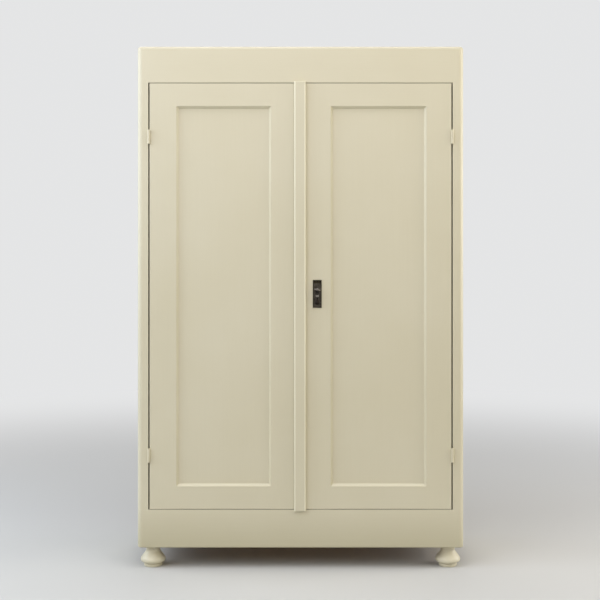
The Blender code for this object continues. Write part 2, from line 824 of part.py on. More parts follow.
def ring_mesh(radius, wire_radius):
    """The mesh of a ring that lies flat, with the object that Blender makes for it removed."""
    bpy.ops.mesh.primitive_torus_add(major_radius=radius, minor_radius=wire_radius,
                                     major_segments=24, minor_segments=10)
    ring = bpy.context.object
    mesh = ring.data
    bpy.data.objects.remove(ring)
    return mesh


pull_y = front - fit - plate_thickness - fit - post_depth + post_height / 2


def pull_post(carrier):
    """A slotted post on the lock plate with a cross pin that the pull hangs on."""
    post_back = front - fit - plate_thickness - fit
    half_width_x = post_width / 2
    half_height = post_height / 2
    post_front = post_back - post_depth
    shape = block((plate_x - half_width_x, post_front, pull_z - half_height),
                  (plate_x + half_width_x, post_back, pull_z + half_height))
    round_edges(shape, edges_at(shape, y=post_front), post_round, 2)
    post = add("pull_post", shape, bronze("pull_post"), carrier=carrier, smooth=True)
    slot = post_slot_width / 2
    cut(post, block((plate_x - slot, post_front - overrun, pull_z - half_height - overrun),
                    (plate_x + slot, post_back - post_back_wall, pull_z + half_height + overrun)))
    pin = (post_width - post_round) / 2
    join(post, rod((plate_x - pin, pull_y, pull_z), (plate_x + pin, pull_y, pull_z), cross_pin_radius, 12))


def drop_pull(carrier):
    """A flattened pear drop under a thin eye, hung from the cross pin."""
    pear_low = -pull_length
    pear_middle = pear_low + pull_radius
    pear_top = -(pull_eye_radius + post_height / 2)
    rise = pear_top - pear_middle
    profile = [(0, pear_top), (pull_neck_radius, pear_top)]
    for step in range(1, pear_steps + 1):
        swell = math.sin(math.pi / 2 * step / pear_steps) ** 2
        profile += [(pull_neck_radius + (pull_radius - pull_neck_radius) * swell, pear_top - rise * step / pear_steps)]
    profile += arc(0, pear_middle, pull_radius, -pull_radius, 15, 75, 4)
    profile += [(0, pear_low)]
    pear = turned("drop_pull", profile, bronze("drop_pull"), (0, 0, 0), sides=24)
    graph = bpy.context.evaluated_depsgraph_get()
    mesh = bpy.data.meshes.new_from_object(pear.evaluated_get(graph))
    material = pear.data.materials[0]
    bpy.data.objects.remove(pear)
    shape = bmesh.new()
    shape.from_mesh(mesh)
    shape.transform(Matrix.Diagonal((1, pull_flat_share, 1, 1)))
    place = Vector((plate_x, pull_y, pull_z))
    shape.transform(Matrix.Translation(place))
    made = add("drop_pull", shape, material, origin=place, carrier=carrier, smooth=True)
    half = pull_eye_thickness / 2
    across = Vector((half, 0, 0))
    join(made, block(place + Vector((-half, -pull_neck_radius * pull_flat_share, pear_top - pull_neck_radius)),
                     place + Vector((half, pull_neck_radius * pull_flat_share, 0))))
    join(made, rod(place - across, place + across, pull_eye_radius))
    reach = Vector((half + overrun, 0, 0))
    cut(made, rod(place - reach, place + reach, cross_pin_radius + pin_clearance, 12))


# Slide bolts

def slide_bolt(name, tip_z, way, carrier):
    """A round bolt in two guides on the left door's inner face. The way is up (1) or down (-1)."""
    x, y = slide_rod_place()
    base = frame_back + fit
    first = tip_z - way * slide_tip_reach
    last = first - way * (slide_guide_spacing + slide_guide_height)
    ends = sorted((first + way * slide_plate_margin, last - way * slide_plate_margin))
    half_plate = slide_plate_width / 2
    plate = add(name + "_plate", block((x - half_plate, base, ends[0]),
                                       (x + half_plate, base + slide_plate_thickness, ends[1])),
                steel(name + "_plate"), carrier=carrier)
    half_guide = slide_guide_width / 2
    for start in (first, last + way * slide_guide_height):
        levels = sorted((start, start - way * slide_guide_height))
        join(plate, block((x - half_guide, base + slide_plate_thickness / 2, levels[0]),
                          (x + half_guide, base + slide_guide_depth, levels[1])))
    cut(plate, rod((x, y, ends[0] - overrun), (x, y, ends[1] + overrun), slide_rod_radius + slide_rod_clearance))
    tail_z = last - way * slide_tail
    levels = sorted((tip_z, tail_z))
    bolt = add(name, rod((x, y, levels[0]), (x, y, levels[1]), slide_rod_radius), steel(name),
               origin=(x, y, tip_z), carrier=carrier, smooth=True)
    knob_z = (first + last) / 2
    join(bolt, rod((x, y, knob_z), (x, y + knob_reach, knob_z), knob_radius))


# The whole cupboard

left_carrier = pivot("left_door_pivot", (-hinge_x, hinge_y, 0))
right_carrier = pivot("right_door_pivot", (hinge_x, hinge_y, 0))

for hand_side, hand_name in ((-1, "left"), (1, "right")):
    side_panel(hand_side, f"{hand_name}_side_panel")
    front_stile(hand_side, f"{hand_name}_front_stile")
    foot_bearer(hand_side, f"{hand_name}_foot_bearer")
    front_place, rear_place = foot_places(hand_side)
    front_foot(front_place, f"front_{hand_name}_foot")
    rear_foot(rear_place, f"rear_{hand_name}_foot")
    hand_carrier = left_carrier if hand_side < 0 else right_carrier
    hinge(hand_side, f"{hand_name}_upper", upper_hinge_z, hand_carrier)
    hinge(hand_side, f"{hand_name}_lower", lower_hinge_z, hand_carrier)

frame_rail("plinth_rail", foot_height, opening_bottom)
frame_rail("top_rail", opening_top, carcass_top)
top_board()
floor_board()
door_stop()
back_boards()
shelves()

door(-1, "left", strip_left - meeting_gap, left_carrier)
lock_stile = door(1, "right", strip_left, right_carrier)
for hole in keyhole(front - overrun, frame_back + overrun):
    cut(lock_stile, hole)
meeting_strip(right_carrier)
lock_plate(right_carrier)
lock_case(right_carrier)
lock_bolt(right_carrier)
key(right_carrier)
pull_post(right_carrier)
drop_pull(right_carrier)
lock_keeper(left_carrier)
slide_bolt("upper_bolt", stop_bottom - slide_tip_gap, 1, left_carrier)
slide_bolt("lower_bolt", floor_top + slide_tip_gap, -1, left_carrier)
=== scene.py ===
import math

import bmesh
import bpy
from mathutils import Euler, Matrix, Vector


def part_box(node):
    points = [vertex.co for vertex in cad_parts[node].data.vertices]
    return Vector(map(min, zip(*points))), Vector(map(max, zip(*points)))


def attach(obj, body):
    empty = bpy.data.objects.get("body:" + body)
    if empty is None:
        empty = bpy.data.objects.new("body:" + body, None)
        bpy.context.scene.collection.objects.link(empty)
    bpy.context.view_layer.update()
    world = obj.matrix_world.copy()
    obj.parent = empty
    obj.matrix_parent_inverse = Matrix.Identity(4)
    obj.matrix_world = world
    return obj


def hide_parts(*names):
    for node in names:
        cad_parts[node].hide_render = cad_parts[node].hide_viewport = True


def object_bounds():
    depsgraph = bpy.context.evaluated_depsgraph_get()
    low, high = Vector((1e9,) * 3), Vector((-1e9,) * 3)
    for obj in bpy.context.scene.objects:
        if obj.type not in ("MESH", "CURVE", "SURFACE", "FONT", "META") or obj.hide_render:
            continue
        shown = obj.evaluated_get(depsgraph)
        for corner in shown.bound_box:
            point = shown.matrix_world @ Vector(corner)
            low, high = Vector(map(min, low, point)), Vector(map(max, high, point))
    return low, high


# A painted linen cupboard with two panelled doors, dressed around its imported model.
# Metres, +X right, +Y to the back, +Z up.

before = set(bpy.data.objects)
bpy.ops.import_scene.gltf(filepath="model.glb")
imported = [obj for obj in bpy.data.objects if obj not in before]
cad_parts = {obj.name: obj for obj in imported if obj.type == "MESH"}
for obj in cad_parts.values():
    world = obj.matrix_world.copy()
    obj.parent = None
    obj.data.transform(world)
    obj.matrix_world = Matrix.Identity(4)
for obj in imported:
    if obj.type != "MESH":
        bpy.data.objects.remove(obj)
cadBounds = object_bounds()
sceneRoot = bpy.context.scene.collection
near = 0.000002  # two places closer than this are one
merging = 0.00001  # loose corners closer than this are joined
broad = 0.001  # in square metres, the area from which a face is shaded quite flat
print("frame loaded")


# Camera, straight on, at the height of the photograph's horizon

cameraView = {"distance": 4.0, "height": 1.1726, "lens": 65.884, "sensor": 36.0,
              "shiftX": -0.00083, "shiftY": -0.0883}

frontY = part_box("top_rail")[0].y
cameraData = bpy.data.cameras.new("view")
cameraData.lens = cameraView["lens"]
cameraData.sensor_width = cameraView["sensor"]
cameraData.shift_x = cameraView["shiftX"]
cameraData.shift_y = cameraView["shiftY"]
camera = bpy.data.objects.new("view", cameraData)
camera.location = (0, frontY - cameraView["distance"], cameraView["height"])
camera.rotation_euler = (math.radians(90), 0, 0)
sceneRoot.objects.link(camera)
bpy.context.scene.camera = camera


# Node trees

def addNode(tree, kind, inputs=(), **settings):
    node = tree.nodes.new(kind)
    for name, value in settings.items():
        setattr(node, name, value)
    for name, value in inputs:
        if isinstance(value, bpy.types.NodeSocket):
            tree.links.new(value, node.inputs[name])
        else:
            node.inputs[name].default_value = value
    return node


def newMaterial(name):
    material = bpy.data.materials.new(name)
    material.use_nodes = True
    tree = material.node_tree
    place = addNode(tree, "ShaderNodeTexCoord").outputs["Object"]
    return material, tree, place, tree.nodes["Principled BSDF"]


def stretchedNoise(tree, place, scales, detail=2.0, rough=0.5):
    mapping = addNode(tree, "ShaderNodeMapping", [("Vector", place), ("Scale", scales)])
    noise = addNode(tree, "ShaderNodeTexNoise", [("Vector", mapping.outputs["Vector"]), ("Scale", 1.0),
                                                 ("Detail", detail), ("Roughness", rough)])
    return noise.outputs["Fac"]


def ramp(tree, source, stops):
    node = addNode(tree, "ShaderNodeValToRGB", [("Fac", source)])
    elements = node.color_ramp.elements
    while len(elements) < len(stops):
        elements.new(0.5)
    for element, (position, colour) in zip(elements, stops):
        element.position = position
        element.color = (*colour, 1)
    return node.outputs["Color"]


def remap(tree, source, low, high, newLow, newHigh):
    node = addNode(tree, "ShaderNodeMapRange", [("Value", source), ("From Min", low), ("From Max", high),
                                                ("To Min", newLow), ("To Max", newHigh)])
    return node.outputs["Result"]


def mixColours(tree, factor, first, second, mode="MIX"):
    colours = [value if isinstance(value, bpy.types.NodeSocket) else (*value, 1) for value in (first, second)]
    node = addNode(tree, "ShaderNodeMix", data_type="RGBA", blend_type=mode)
    for index, value in ((0, factor), (6, colours[0]), (7, colours[1])):
        if isinstance(value, bpy.types.NodeSocket):
            tree.links.new(value, node.inputs[index])
        else:
            node.inputs[index].default_value = value
    return node.outputs[2]


def twoValues(tree, operation, first, second):
    return addNode(tree, "ShaderNodeMath", [(0, first), (1, second)], operation=operation).outputs[0]


def unsigned(tree, value):
    return addNode(tree, "ShaderNodeMath", [(0, value)], operation="ABSOLUTE").outputs[0]


def within(tree, value, low, high):
    # 1 from low to high, and 0 elsewhere
    return addNode(tree, "ShaderNodeMath", [(0, value), (1, (low + high) / 2), (2, (high - low) / 2)],
                   operation="COMPARE").outputs[0]


def allOf(tree, share, *others):
    for other in others:
        share = twoValues(tree, "MULTIPLY", share, other)
    return share


def addBumps(tree, shader, layers):
    # each layer is a height from 0 to 1 and its depth in metres
    normal = None
    for height, depth in layers:
        inputs = [("Height", height), ("Distance", depth)] + ([("Normal", normal)] if normal else [])
        normal = addNode(tree, "ShaderNodeBump", inputs).outputs["Normal"]
    tree.links.new(normal, shader.inputs["Normal"])


# Finishes: scales are repeats in a metre, depths are in metres

paint = {"colour": (0.690, 0.633, 0.468), "deeper": (0.678, 0.620, 0.452), "paler": (0.702, 0.647, 0.486),
         "streak": (0.988, 0.986, 0.982), "cloudScale": 2.3, "brushAlong": 5, "brushAcross": 420,
         "layAlong": 1.3, "layAcross": 60, "peelScale": 850, "brushDepth": 0.00002, "layDepth": 0.00006,
         "peelDepth": 0.00003, "roughness": 0.38, "cloudGloss": 0.04, "layGloss": 0.05}
# where the gaps round the doors run, and how far behind the front their painted shade starts and is full
gaps = {"x": 0.55225, "halfX": 0.0024, "low": 0.217, "high": 1.770, "halfZ": 0.0012, "start": 0.0006,
        "full": 0.003, "back": 0.03, "dust": (0.36, 0.32, 0.25)}
# painted shade, from the doors' foot down to the carcass's own, ever darker
lowShade = {"tint": (0.81, 0.805, 0.745), "low": 0.0775, "high": 0.217, "under": 0.0005}
# a painted highlight along the two front edges: how much of it is left at the arris itself, and where the
# brush strokes lie low
stripHighlight = {"colour": (1.0, 0.955, 0.76), "width": 0.0052, "depth": 0.005, "arrisShare": 0.2,
          "leastShare": 0.55}


def gapShadeShare(tree, parts):
    # 1 deep in the gaps between the doors and the frame, where the paint is darkened as painted shade, and 0
    # elsewhere
    across, z, half = unsigned(tree, parts["X"]), parts["Z"], gaps["halfZ"]
    outside = gaps["x"] + gaps["halfX"]
    share = within(tree, across, gaps["x"] - gaps["halfX"], outside)
    for level in (gaps["low"], gaps["high"]):
        share = twoValues(tree, "MAXIMUM", share, within(tree, z, level - half, level + half))
    return allOf(tree, share, within(tree, across, -outside, outside),
                 within(tree, parts["Y"], frontY - gaps["back"], frontY + gaps["back"]),
                 within(tree, z, gaps["low"] - half, gaps["high"] + half),
                 remap(tree, parts["Y"], frontY + gaps["start"], frontY + gaps["full"], 0.0, 1.0))


def lowShadeShare(tree, parts):
    # 1 at the carcass's foot, falling to 0 at the doors' foot: painted shade, darker towards the floor
    return allOf(tree, within(tree, parts["Z"], lowShade["low"] - lowShade["under"], lowShade["high"]),
                 remap(tree, parts["Z"], lowShade["low"], lowShade["high"], 1.0, 0.0))


def stripHighlightShare(tree, parts, lay, node):
    # 1 along the two front edges of a proud piece, where the paint is made paler as a painted highlight, and
    # 0 elsewhere
    low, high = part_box(node)
    away = unsigned(tree, twoValues(tree, "SUBTRACT", parts["X"], (low.x + high.x) / 2))
    width, half = stripHighlight["width"], (high.x - low.x) / 2
    return allOf(tree, remap(tree, away, half - width, half - width / 2, 0.0, 1.0),
                 remap(tree, away, half - width / 4, half, 1.0, stripHighlight["arrisShare"]),
                 remap(tree, parts["Y"], low.y, low.y + stripHighlight["depth"], 1.0, 0.0),
                 remap(tree, lay, 0.3, 0.6, stripHighlight["leastShare"], 1.0))


def creamPaint(name, axis, highlightNode=None):
    # brushed out along the axis
    material, tree, place, shader = newMaterial(name)
    hairScale = [paint["brushAlong"] if letter == axis else paint["brushAcross"] for letter in "xyz"]
    layScale = [paint["layAlong"] if letter == axis else paint["layAcross"] for letter in "xyz"]
    clouds = stretchedNoise(tree, place, [paint["cloudScale"]] * 3, 3.0)
    hairs = stretchedNoise(tree, place, hairScale)
    lay = stretchedNoise(tree, place, layScale)
    peel = stretchedNoise(tree, place, [paint["peelScale"]] * 3)
    tone = ramp(tree, clouds, [(0.3, paint["deeper"]), (0.5, paint["colour"]), (0.7, paint["paler"])])
    streaks = ramp(tree, hairs, [(0.3, paint["streak"]), (0.7, (1, 1, 1))])
    tone = mixColours(tree, 1.0, tone, streaks, "MULTIPLY")
    parts = addNode(tree, "ShaderNodeSeparateXYZ", [(0, place)]).outputs
    # painted shade: the paint is darkened deep in the door gaps and towards the floor
    for share, shadeTint in ((gapShadeShare(tree, parts), gaps["dust"]), (lowShadeShare(tree, parts), lowShade["tint"])):
        tone = mixColours(tree, share, tone, mixColours(tree, 1.0, tone, shadeTint, "MULTIPLY"))
    # a painted highlight: paler paint along the strip's two front edges
    if highlightNode:
        tone = mixColours(tree, stripHighlightShare(tree, parts, lay, highlightNode), tone, stripHighlight["colour"])
    tree.links.new(tone, shader.inputs["Base Color"])
    gloss = twoValues(tree, "ADD", remap(tree, lay, 0.3, 0.7, -paint["layGloss"], paint["layGloss"]),
                      remap(tree, clouds, 0.3, 0.7, paint["roughness"] - paint["cloudGloss"],
                            paint["roughness"] + paint["cloudGloss"]))
    tree.links.new(gloss, shader.inputs["Roughness"])
    addBumps(tree, shader, [(peel, paint["peelDepth"]), (hairs, paint["brushDepth"]),
                            (lay, paint["layDepth"])])
    return material


pine = {"early": (0.64, 0.445, 0.245), "late": (0.42, 0.245, 0.11), "aged": (0.555, 0.365, 0.185),
        "knot": (0.16, 0.075, 0.032), "shade": (0.28, 0.16, 0.07), "ringGap": 0.0046, "roughness": 0.62,
        "smoother": 0.07, "rougher": 0.1, "heart": 0.05, "heartSpread": 0.09, "aside": 0.04, "along": 1.7,
        "lean": (0.028, -0.019, 0), "wander": 0.032, "wanderScale": (5, 5, 0.9), "knotScale": 3.1,
        "fibreScale": (950, 950, 9), "streakScale": (60, 60, 1.2), "fibreDepth": 0.00010,
        "ringDepth": 0.00006}


def barePine(node, axis, face, number, darker):
    # the grain runs along the axis, and each board is cut from its own place in a tree:
    # so far away from the heart, aside of it and along the trunk
    material, tree, place, shader = newMaterial("pine_" + node)
    away = pine["heart"] + pine["heartSpread"] * (number * 0.618 % 1)
    aside = 2 * pine["aside"] * (number * 0.414 % 1) - pine["aside"]
    along = number * pine["along"]
    turn = Euler({"z": (0, 0, 0), "x": (0, math.radians(90), 0), "y": (math.radians(90), 0, 0)}[axis])
    low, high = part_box(node)
    shift = Vector((away, aside, along) if face == "x" else (aside, away, along))
    shift -= turn.to_matrix() @ ((low + high) / 2)
    board = addNode(tree, "ShaderNodeMapping", [("Vector", place), ("Location", shift),
                                                ("Rotation", turn)]).outputs[0]
    trunk = addNode(tree, "ShaderNodeMapping", [("Vector", board), ("Rotation", pine["lean"])]).outputs[0]
    slow = addNode(tree, "ShaderNodeMapping", [("Vector", trunk), ("Scale", pine["wanderScale"])]).outputs[0]
    wander = addNode(tree, "ShaderNodeTexNoise", [("Vector", slow), ("Scale", 1.0)]).outputs["Color"]
    shiftBy = addNode(tree, "ShaderNodeVectorMath", [(0, wander), ("Scale", pine["wander"])],
                      operation="SCALE").outputs[0]
    moved = addNode(tree, "ShaderNodeVectorMath", [(0, trunk), (1, shiftBy)], operation="ADD").outputs[0]
    ringScale = math.tau / 20 / pine["ringGap"]
    rings = addNode(tree, "ShaderNodeTexWave", [("Vector", moved), ("Scale", ringScale)],
                    wave_type="RINGS", rings_direction="Z", wave_profile="SAW").outputs["Fac"]
    fibres = stretchedNoise(tree, board, pine["fibreScale"], 3.0, 0.6)
    streaks = stretchedNoise(tree, board, pine["streakScale"], 3.0)
    knots = addNode(tree, "ShaderNodeTexVoronoi", [("Vector", board),
                                                   ("Scale", pine["knotScale"])]).outputs["Distance"]
    wood = ramp(tree, rings, [(0.0, pine["early"]), (0.6, pine["aged"]), (0.93, pine["late"]),
                              (1.0, pine["early"])])
    for share, colour in ((remap(tree, streaks, 0.35, 0.7, 0.0, 0.5), pine["aged"]),
                          (remap(tree, fibres, 0.45, 0.8, 0.0, 0.4), pine["late"]),
                          (remap(tree, knots, 0.026, 0.04, 1.0, 0.0), pine["knot"]), (darker, pine["shade"])):
        wood = mixColours(tree, share, wood, colour)
    tree.links.new(wood, shader.inputs["Base Color"])
    gloss = remap(tree, fibres, 0.3, 0.8, pine["roughness"] - pine["smoother"],
                  pine["roughness"] + pine["rougher"])
    tree.links.new(gloss, shader.inputs["Roughness"])
    addBumps(tree, shader, [(fibres, pine["fibreDepth"]), (rings, pine["ringDepth"])])
    return material


# the dark and the light tone of each, how shiny, and the scale and depth of its specks
metals = {"darkBronze": {"dark": (0.006, 0.0047, 0.0034), "light": (0.025, 0.019, 0.014), "roughness": 0.42,
                         "metallic": 0.5, "specular": 0.15, "speck": 700, "depth": 0.00003},
          "borderBronze": {"dark": (0.016, 0.013, 0.0065), "light": (0.048, 0.039, 0.020), "roughness": 0.52,
                           "metallic": 0.5, "specular": 0.15, "speck": 600, "depth": 0.00003},
          # the field bronze darkens round a place below the key, a painted shade
          "fieldBronze": {"dark": (0.034, 0.029, 0.022), "light": (0.108, 0.095, 0.075), "roughness": 0.52,
                          "metallic": 0.5, "specular": 0.15, "speck": 600, "depth": 0.00003,
                          "keyShadePlace": (0.061, -0.2088, 1.009), "keyShadeReach": 0.015},
          # a painted highlight: a lighter bronze for the pull post and the drop's eye
          "highlightBronze": {"dark": (0.110, 0.096, 0.078), "light": (0.32, 0.29, 0.25), "roughness": 0.40,
                           "metallic": 0.6, "specular": 0.5, "speck": 700, "depth": 0.00002},
          "wornKeySteel": {"dark": (0.085, 0.072, 0.062), "light": (0.25, 0.225, 0.20), "roughness": 0.40,
                           "metallic": 0.7, "specular": 0.5, "speck": 800, "depth": 0.00002},
          "wornLockSteel": {"dark": (0.10, 0.085, 0.07), "light": (0.33, 0.31, 0.285), "roughness": 0.42,
                            "metallic": 0.9, "specular": 0.5, "speck": 300, "depth": 0.00004}}
# the last entry is the strength of the painted shade below the key
wear = {"cloudScale": 55, "cloudShare": 0.6, "speckShare": 0.4, "duller": 0.14, "brighter": 0.06,
        "grime": 0.8}


def agedMetal(name, look):
    material, tree, place, shader = newMaterial(name)
    clouds = stretchedNoise(tree, place, [wear["cloudScale"]] * 3, 4.0, 0.6)
    specks = stretchedNoise(tree, place, [look["speck"]] * 3, 3.0, 0.65)
    worn = twoValues(tree, "ADD", twoValues(tree, "MULTIPLY", clouds, wear["cloudShare"]),
                     twoValues(tree, "MULTIPLY", specks, wear["speckShare"]))
    tone = ramp(tree, worn, [(0.38, look["dark"]), (0.62, look["light"])])
    if "keyShadePlace" in look:  # painted shade: darker round this place below the key
        away = addNode(tree, "ShaderNodeVectorMath", [(0, place), (1, look["keyShadePlace"])],
                       operation="DISTANCE").outputs["Value"]
        grime = remap(tree, away, look["keyShadeReach"] / 3, look["keyShadeReach"], wear["grime"], 0.0)
        tone = mixColours(tree, grime, tone, look["dark"])
    tree.links.new(tone, shader.inputs["Base Color"])
    gloss = remap(tree, worn, 0.35, 0.65, look["roughness"] + wear["duller"],
                  look["roughness"] - wear["brighter"])
    tree.links.new(gloss, shader.inputs["Roughness"])
    shader.inputs["Metallic"].default_value = look["metallic"]
    shader.inputs["Specular IOR Level"].default_value = look["specular"]
    addBumps(tree, shader, [(specks, look["depth"]), (clouds, look["depth"] * 4)])
    return material


uprightPaint = creamPaint("creamPaintUpright", "z")
levelPaint = creamPaint("creamPaintLevel", "x")
# the strip's paint carries a painted highlight along its two front edges
stripPaint = creamPaint("creamPaintStrip", "z", "meeting_strip")
bronze, borderBronze, fieldBronze, highlightBronze, keySteel, lockSteel = [
    agedMetal(name, look) for name, look in metals.items()]
print("finishes made")


# Shapes

def blockBetween(low, high):
    low, high = Vector(low), Vector(high)
    shape = bmesh.new()
    bmesh.ops.create_cube(shape, size=1, matrix=Matrix.Translation((low + high) / 2)
                          @ Matrix.Diagonal((*(high - low), 1)))
    return shape


def turnedProfile(profile, sides):
    # turns places of radius and height about the upright axis; a radius of 0 makes a pole
    shape = bmesh.new()
    rings = []
    for radius, height in profile:
        count = sides if radius > near else 1
        rings.append([shape.verts.new((radius * math.cos(math.tau * step / sides),
                                       radius * math.sin(math.tau * step / sides), height))
                      for step in range(count)])
    for lower, upper in zip(rings, rings[1:]):
        for step in range(sides):
            corners = [lower[step % len(lower)], lower[(step + 1) % len(lower)],
                       upper[(step + 1) % len(upper)], upper[step % len(upper)]]
            corners = [corner for index, corner in enumerate(corners) if corner not in corners[:index]]
            if len(corners) > 2:
                shape.faces.new(corners)
    return shape


def arc(centre, height, reach, rise, start, end, steps):
    angles = [math.radians(start + (end - start) * step / steps) for step in range(steps + 1)]
    return [(centre + reach * math.cos(angle), height + rise * math.sin(angle)) for angle in angles]


def rodBetween(start, end, radius, sides=32, edge=0.0):
    # a round bar with its ends eased by the edge
    start, end = Vector(start), Vector(end)
    length = (end - start).length
    profile = [(0, 0)]
    profile += arc(radius - edge, edge, edge, -edge, 90, 0, 4) if edge else [(radius, 0)]
    profile += arc(radius - edge, length - edge, edge, edge, 0, 90, 4) if edge else [(radius, length)]
    profile += [(0, length)]
    shape = turnedProfile(profile, sides)
    shape.transform(Matrix.Translation(start) @ (end - start).to_track_quat("Z", "Y").to_matrix().to_4x4())
    return shape


def ringOf(radius, wire, sides, wireSides):
    shape = bmesh.new()
    loops = []
    for step in range(sides):
        turn = math.tau * step / sides
        loops.append([shape.verts.new(((radius + wire * math.cos(angle)) * math.cos(turn),
                                       (radius + wire * math.cos(angle)) * math.sin(turn),
                                       wire * math.sin(angle)))
                      for angle in [math.tau * part / wireSides for part in range(wireSides)]])
    for step in range(sides):
        for part in range(wireSides):
            after = (part + 1) % wireSides
            shape.faces.new((loops[step][part], loops[step][after],
                             loops[(step + 1) % sides][after], loops[(step + 1) % sides][part]))
    return shape


def edgesAt(shape, x=None, y=None, z=None):
    places = [(axis, place) for axis, place in enumerate((x, y, z)) if place is not None]
    return [edge for edge in shape.edges
            if all(abs(end.co[axis] - place) < near for end in edge.verts for axis, place in places)]


def roundOff(shape, edges, radius, steps):
    bmesh.ops.bevel(shape, geom=edges, offset=radius, offset_type="OFFSET", segments=steps, profile=0.5,
                    affect="EDGES", clamp_overlap=True)


def copyOf(node):
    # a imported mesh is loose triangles, so the copy is merged and its flat faces made whole
    shape = bmesh.new()
    shape.from_mesh(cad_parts[node].data)
    bmesh.ops.remove_doubles(shape, verts=shape.verts, dist=merging)
    bmesh.ops.dissolve_limit(shape, angle_limit=math.radians(1), verts=shape.verts, edges=shape.edges)
    return shape


def settle(piece):
    # makes the piece's modifiers plain mesh
    bpy.context.view_layer.update()
    graph = bpy.context.evaluated_depsgraph_get()
    mesh = bpy.data.meshes.new_from_object(piece.evaluated_get(graph), depsgraph=graph)
    piece.modifiers.clear()
    old, piece.data = piece.data, mesh
    bpy.data.meshes.remove(old)


def objectFrom(name, shape):
    mesh = bpy.data.meshes.new(name)
    bmesh.ops.recalc_face_normals(shape, faces=shape.faces)
    shape.to_mesh(mesh)
    shape.free()
    made = bpy.data.objects.new(name, mesh)
    sceneRoot.objects.link(made)
    return made


def workShape(piece, tools):
    # each tool is what it does, UNION or DIFFERENCE, and its shape
    helpers = []
    for operation, shape in tools:
        helper = objectFrom("tool", shape)
        boolean = piece.modifiers.new("work", "BOOLEAN")
        boolean.operation = operation
        boolean.solver = "EXACT"
        boolean.object = helper
        helpers.append(helper)
    settle(piece)
    for helper in helpers:
        mesh = helper.data
        bpy.data.objects.remove(helper)
        bpy.data.meshes.remove(mesh)


def holdFlats(piece):
    # the corners of a broad flat face all look the way the face does
    normals = [Vector(corner.vector) for corner in piece.data.corner_normals]
    for face in piece.data.polygons:
        if face.area > broad:
            for loop in face.loop_indices:
                normals[loop] = face.normal.copy()
    piece.data.normals_split_custom_set(normals)


def makePiece(node, shape, material, body, name=None, tools=(), soften=0.0, steps=2, sharpAngle=32):
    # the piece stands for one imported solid, and has its name unless it is given another
    first, *others = node.split("_")
    piece = objectFrom(name or first + "".join(word.title() for word in others), shape)
    if tools:
        workShape(piece, tools)
    piece.data.materials.clear()
    piece.data.materials.append(material)
    if soften:
        bevel = piece.modifiers.new("soften", "BEVEL")
        bevel.width = soften
        bevel.segments = steps
        bevel.limit_method = "ANGLE"
        bevel.angle_limit = math.radians(40)
        settle(piece)
    piece.data.shade_smooth()
    piece.data.set_sharp_from_angle(angle=math.radians(sharpAngle))
    weighted = piece.modifiers.new("evenShading", "WEIGHTED_NORMAL")
    weighted.keep_sharp = True
    settle(piece)
    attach(piece, body)
    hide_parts(node)
    return piece


# Carcass: the painted front frame, sides and top

# sideBoard numbers the side panels among the boards cut from the tree
carcass = {"cornerRadius": 0.0185, "cornerSteps": 14, "topRadius": 0.010, "topSteps": 12,
           "bottomRadius": 0.004, "bottomSteps": 5, "edgeRadius": 0.0009, "edgeSteps": 3,
           "sideEdge": 0.0006, "sideBoard": 31}

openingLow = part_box("plinth_rail")[1].z
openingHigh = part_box("top_rail")[0].z
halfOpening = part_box("right_front_stile")[0].x
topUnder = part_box("right_front_stile")[1].z


def makeFrontStile(side, hand):
    node = f"{hand}_front_stile"
    low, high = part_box(node)
    outer = side * max(abs(low.x), abs(high.x))
    inner = side * min(abs(low.x), abs(high.x))
    shape = blockBetween(low, high)
    for level in (openingLow, openingHigh):
        bmesh.ops.bisect_plane(shape, geom=shape.verts[:] + shape.edges[:] + shape.faces[:], dist=near,
                               plane_co=(0, 0, level), plane_no=(0, 0, 1))
    roundOff(shape, edgesAt(shape, x=outer, y=low.y), carcass["cornerRadius"], carcass["cornerSteps"])
    lower = [edge for edge in edgesAt(shape, z=low.z)
             if edge not in edgesAt(shape, x=inner) + edgesAt(shape, y=high.y)]
    roundOff(shape, lower, carcass["bottomRadius"], carcass["bottomSteps"])
    for y in (low.y, high.y):
        arris = [edge for edge in edgesAt(shape, x=inner, y=y)
                 if all(openingLow - near < end.co.z < openingHigh + near for end in edge.verts)]
        roundOff(shape, arris, carcass["edgeRadius"], carcass["edgeSteps"])
    holdFlats(makePiece(node, shape, uprightPaint, "carcass"))


def makeFrameRail(node, lowZ, highZ, name=None):
    low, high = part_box(node)
    shape = blockBetween((-halfOpening, low.y, lowZ), (halfOpening, high.y, highZ))
    freeEdge = highZ if highZ == openingLow else lowZ
    if lowZ < openingLow:
        roundOff(shape, edgesAt(shape, y=low.y, z=lowZ), carcass["bottomRadius"], carcass["bottomSteps"])
    for y in (low.y, high.y):
        roundOff(shape, edgesAt(shape, y=y, z=freeEdge), carcass["edgeRadius"], carcass["edgeSteps"])
    makePiece(node, shape, levelPaint, "carcass", name)


def makeTopBoard():
    low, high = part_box("top_board")
    shape = blockBetween((low.x, low.y, topUnder), high)
    for x in (low.x, high.x):
        roundOff(shape, edgesAt(shape, x=x, y=low.y), carcass["cornerRadius"], carcass["cornerSteps"])
    upper = [edge for edge in edgesAt(shape, z=high.z) if edge not in edgesAt(shape, y=high.y)]
    roundOff(shape, upper, carcass["topRadius"], carcass["topSteps"])
    makePiece("top_board", shape, levelPaint, "carcass")


def makeSidePanel(side, hand):
    # painted outside, bare inside
    node = f"{hand}_side_panel"
    inside = barePine(node, "z", "x", carcass["sideBoard"] + side, 0.0)
    piece = makePiece(node, copyOf(node), uprightPaint, "carcass", soften=carcass["sideEdge"])
    piece.data.materials.append(inside)
    for face in piece.data.polygons:
        if face.normal.x * side < -0.5:
            face.material_index = 1


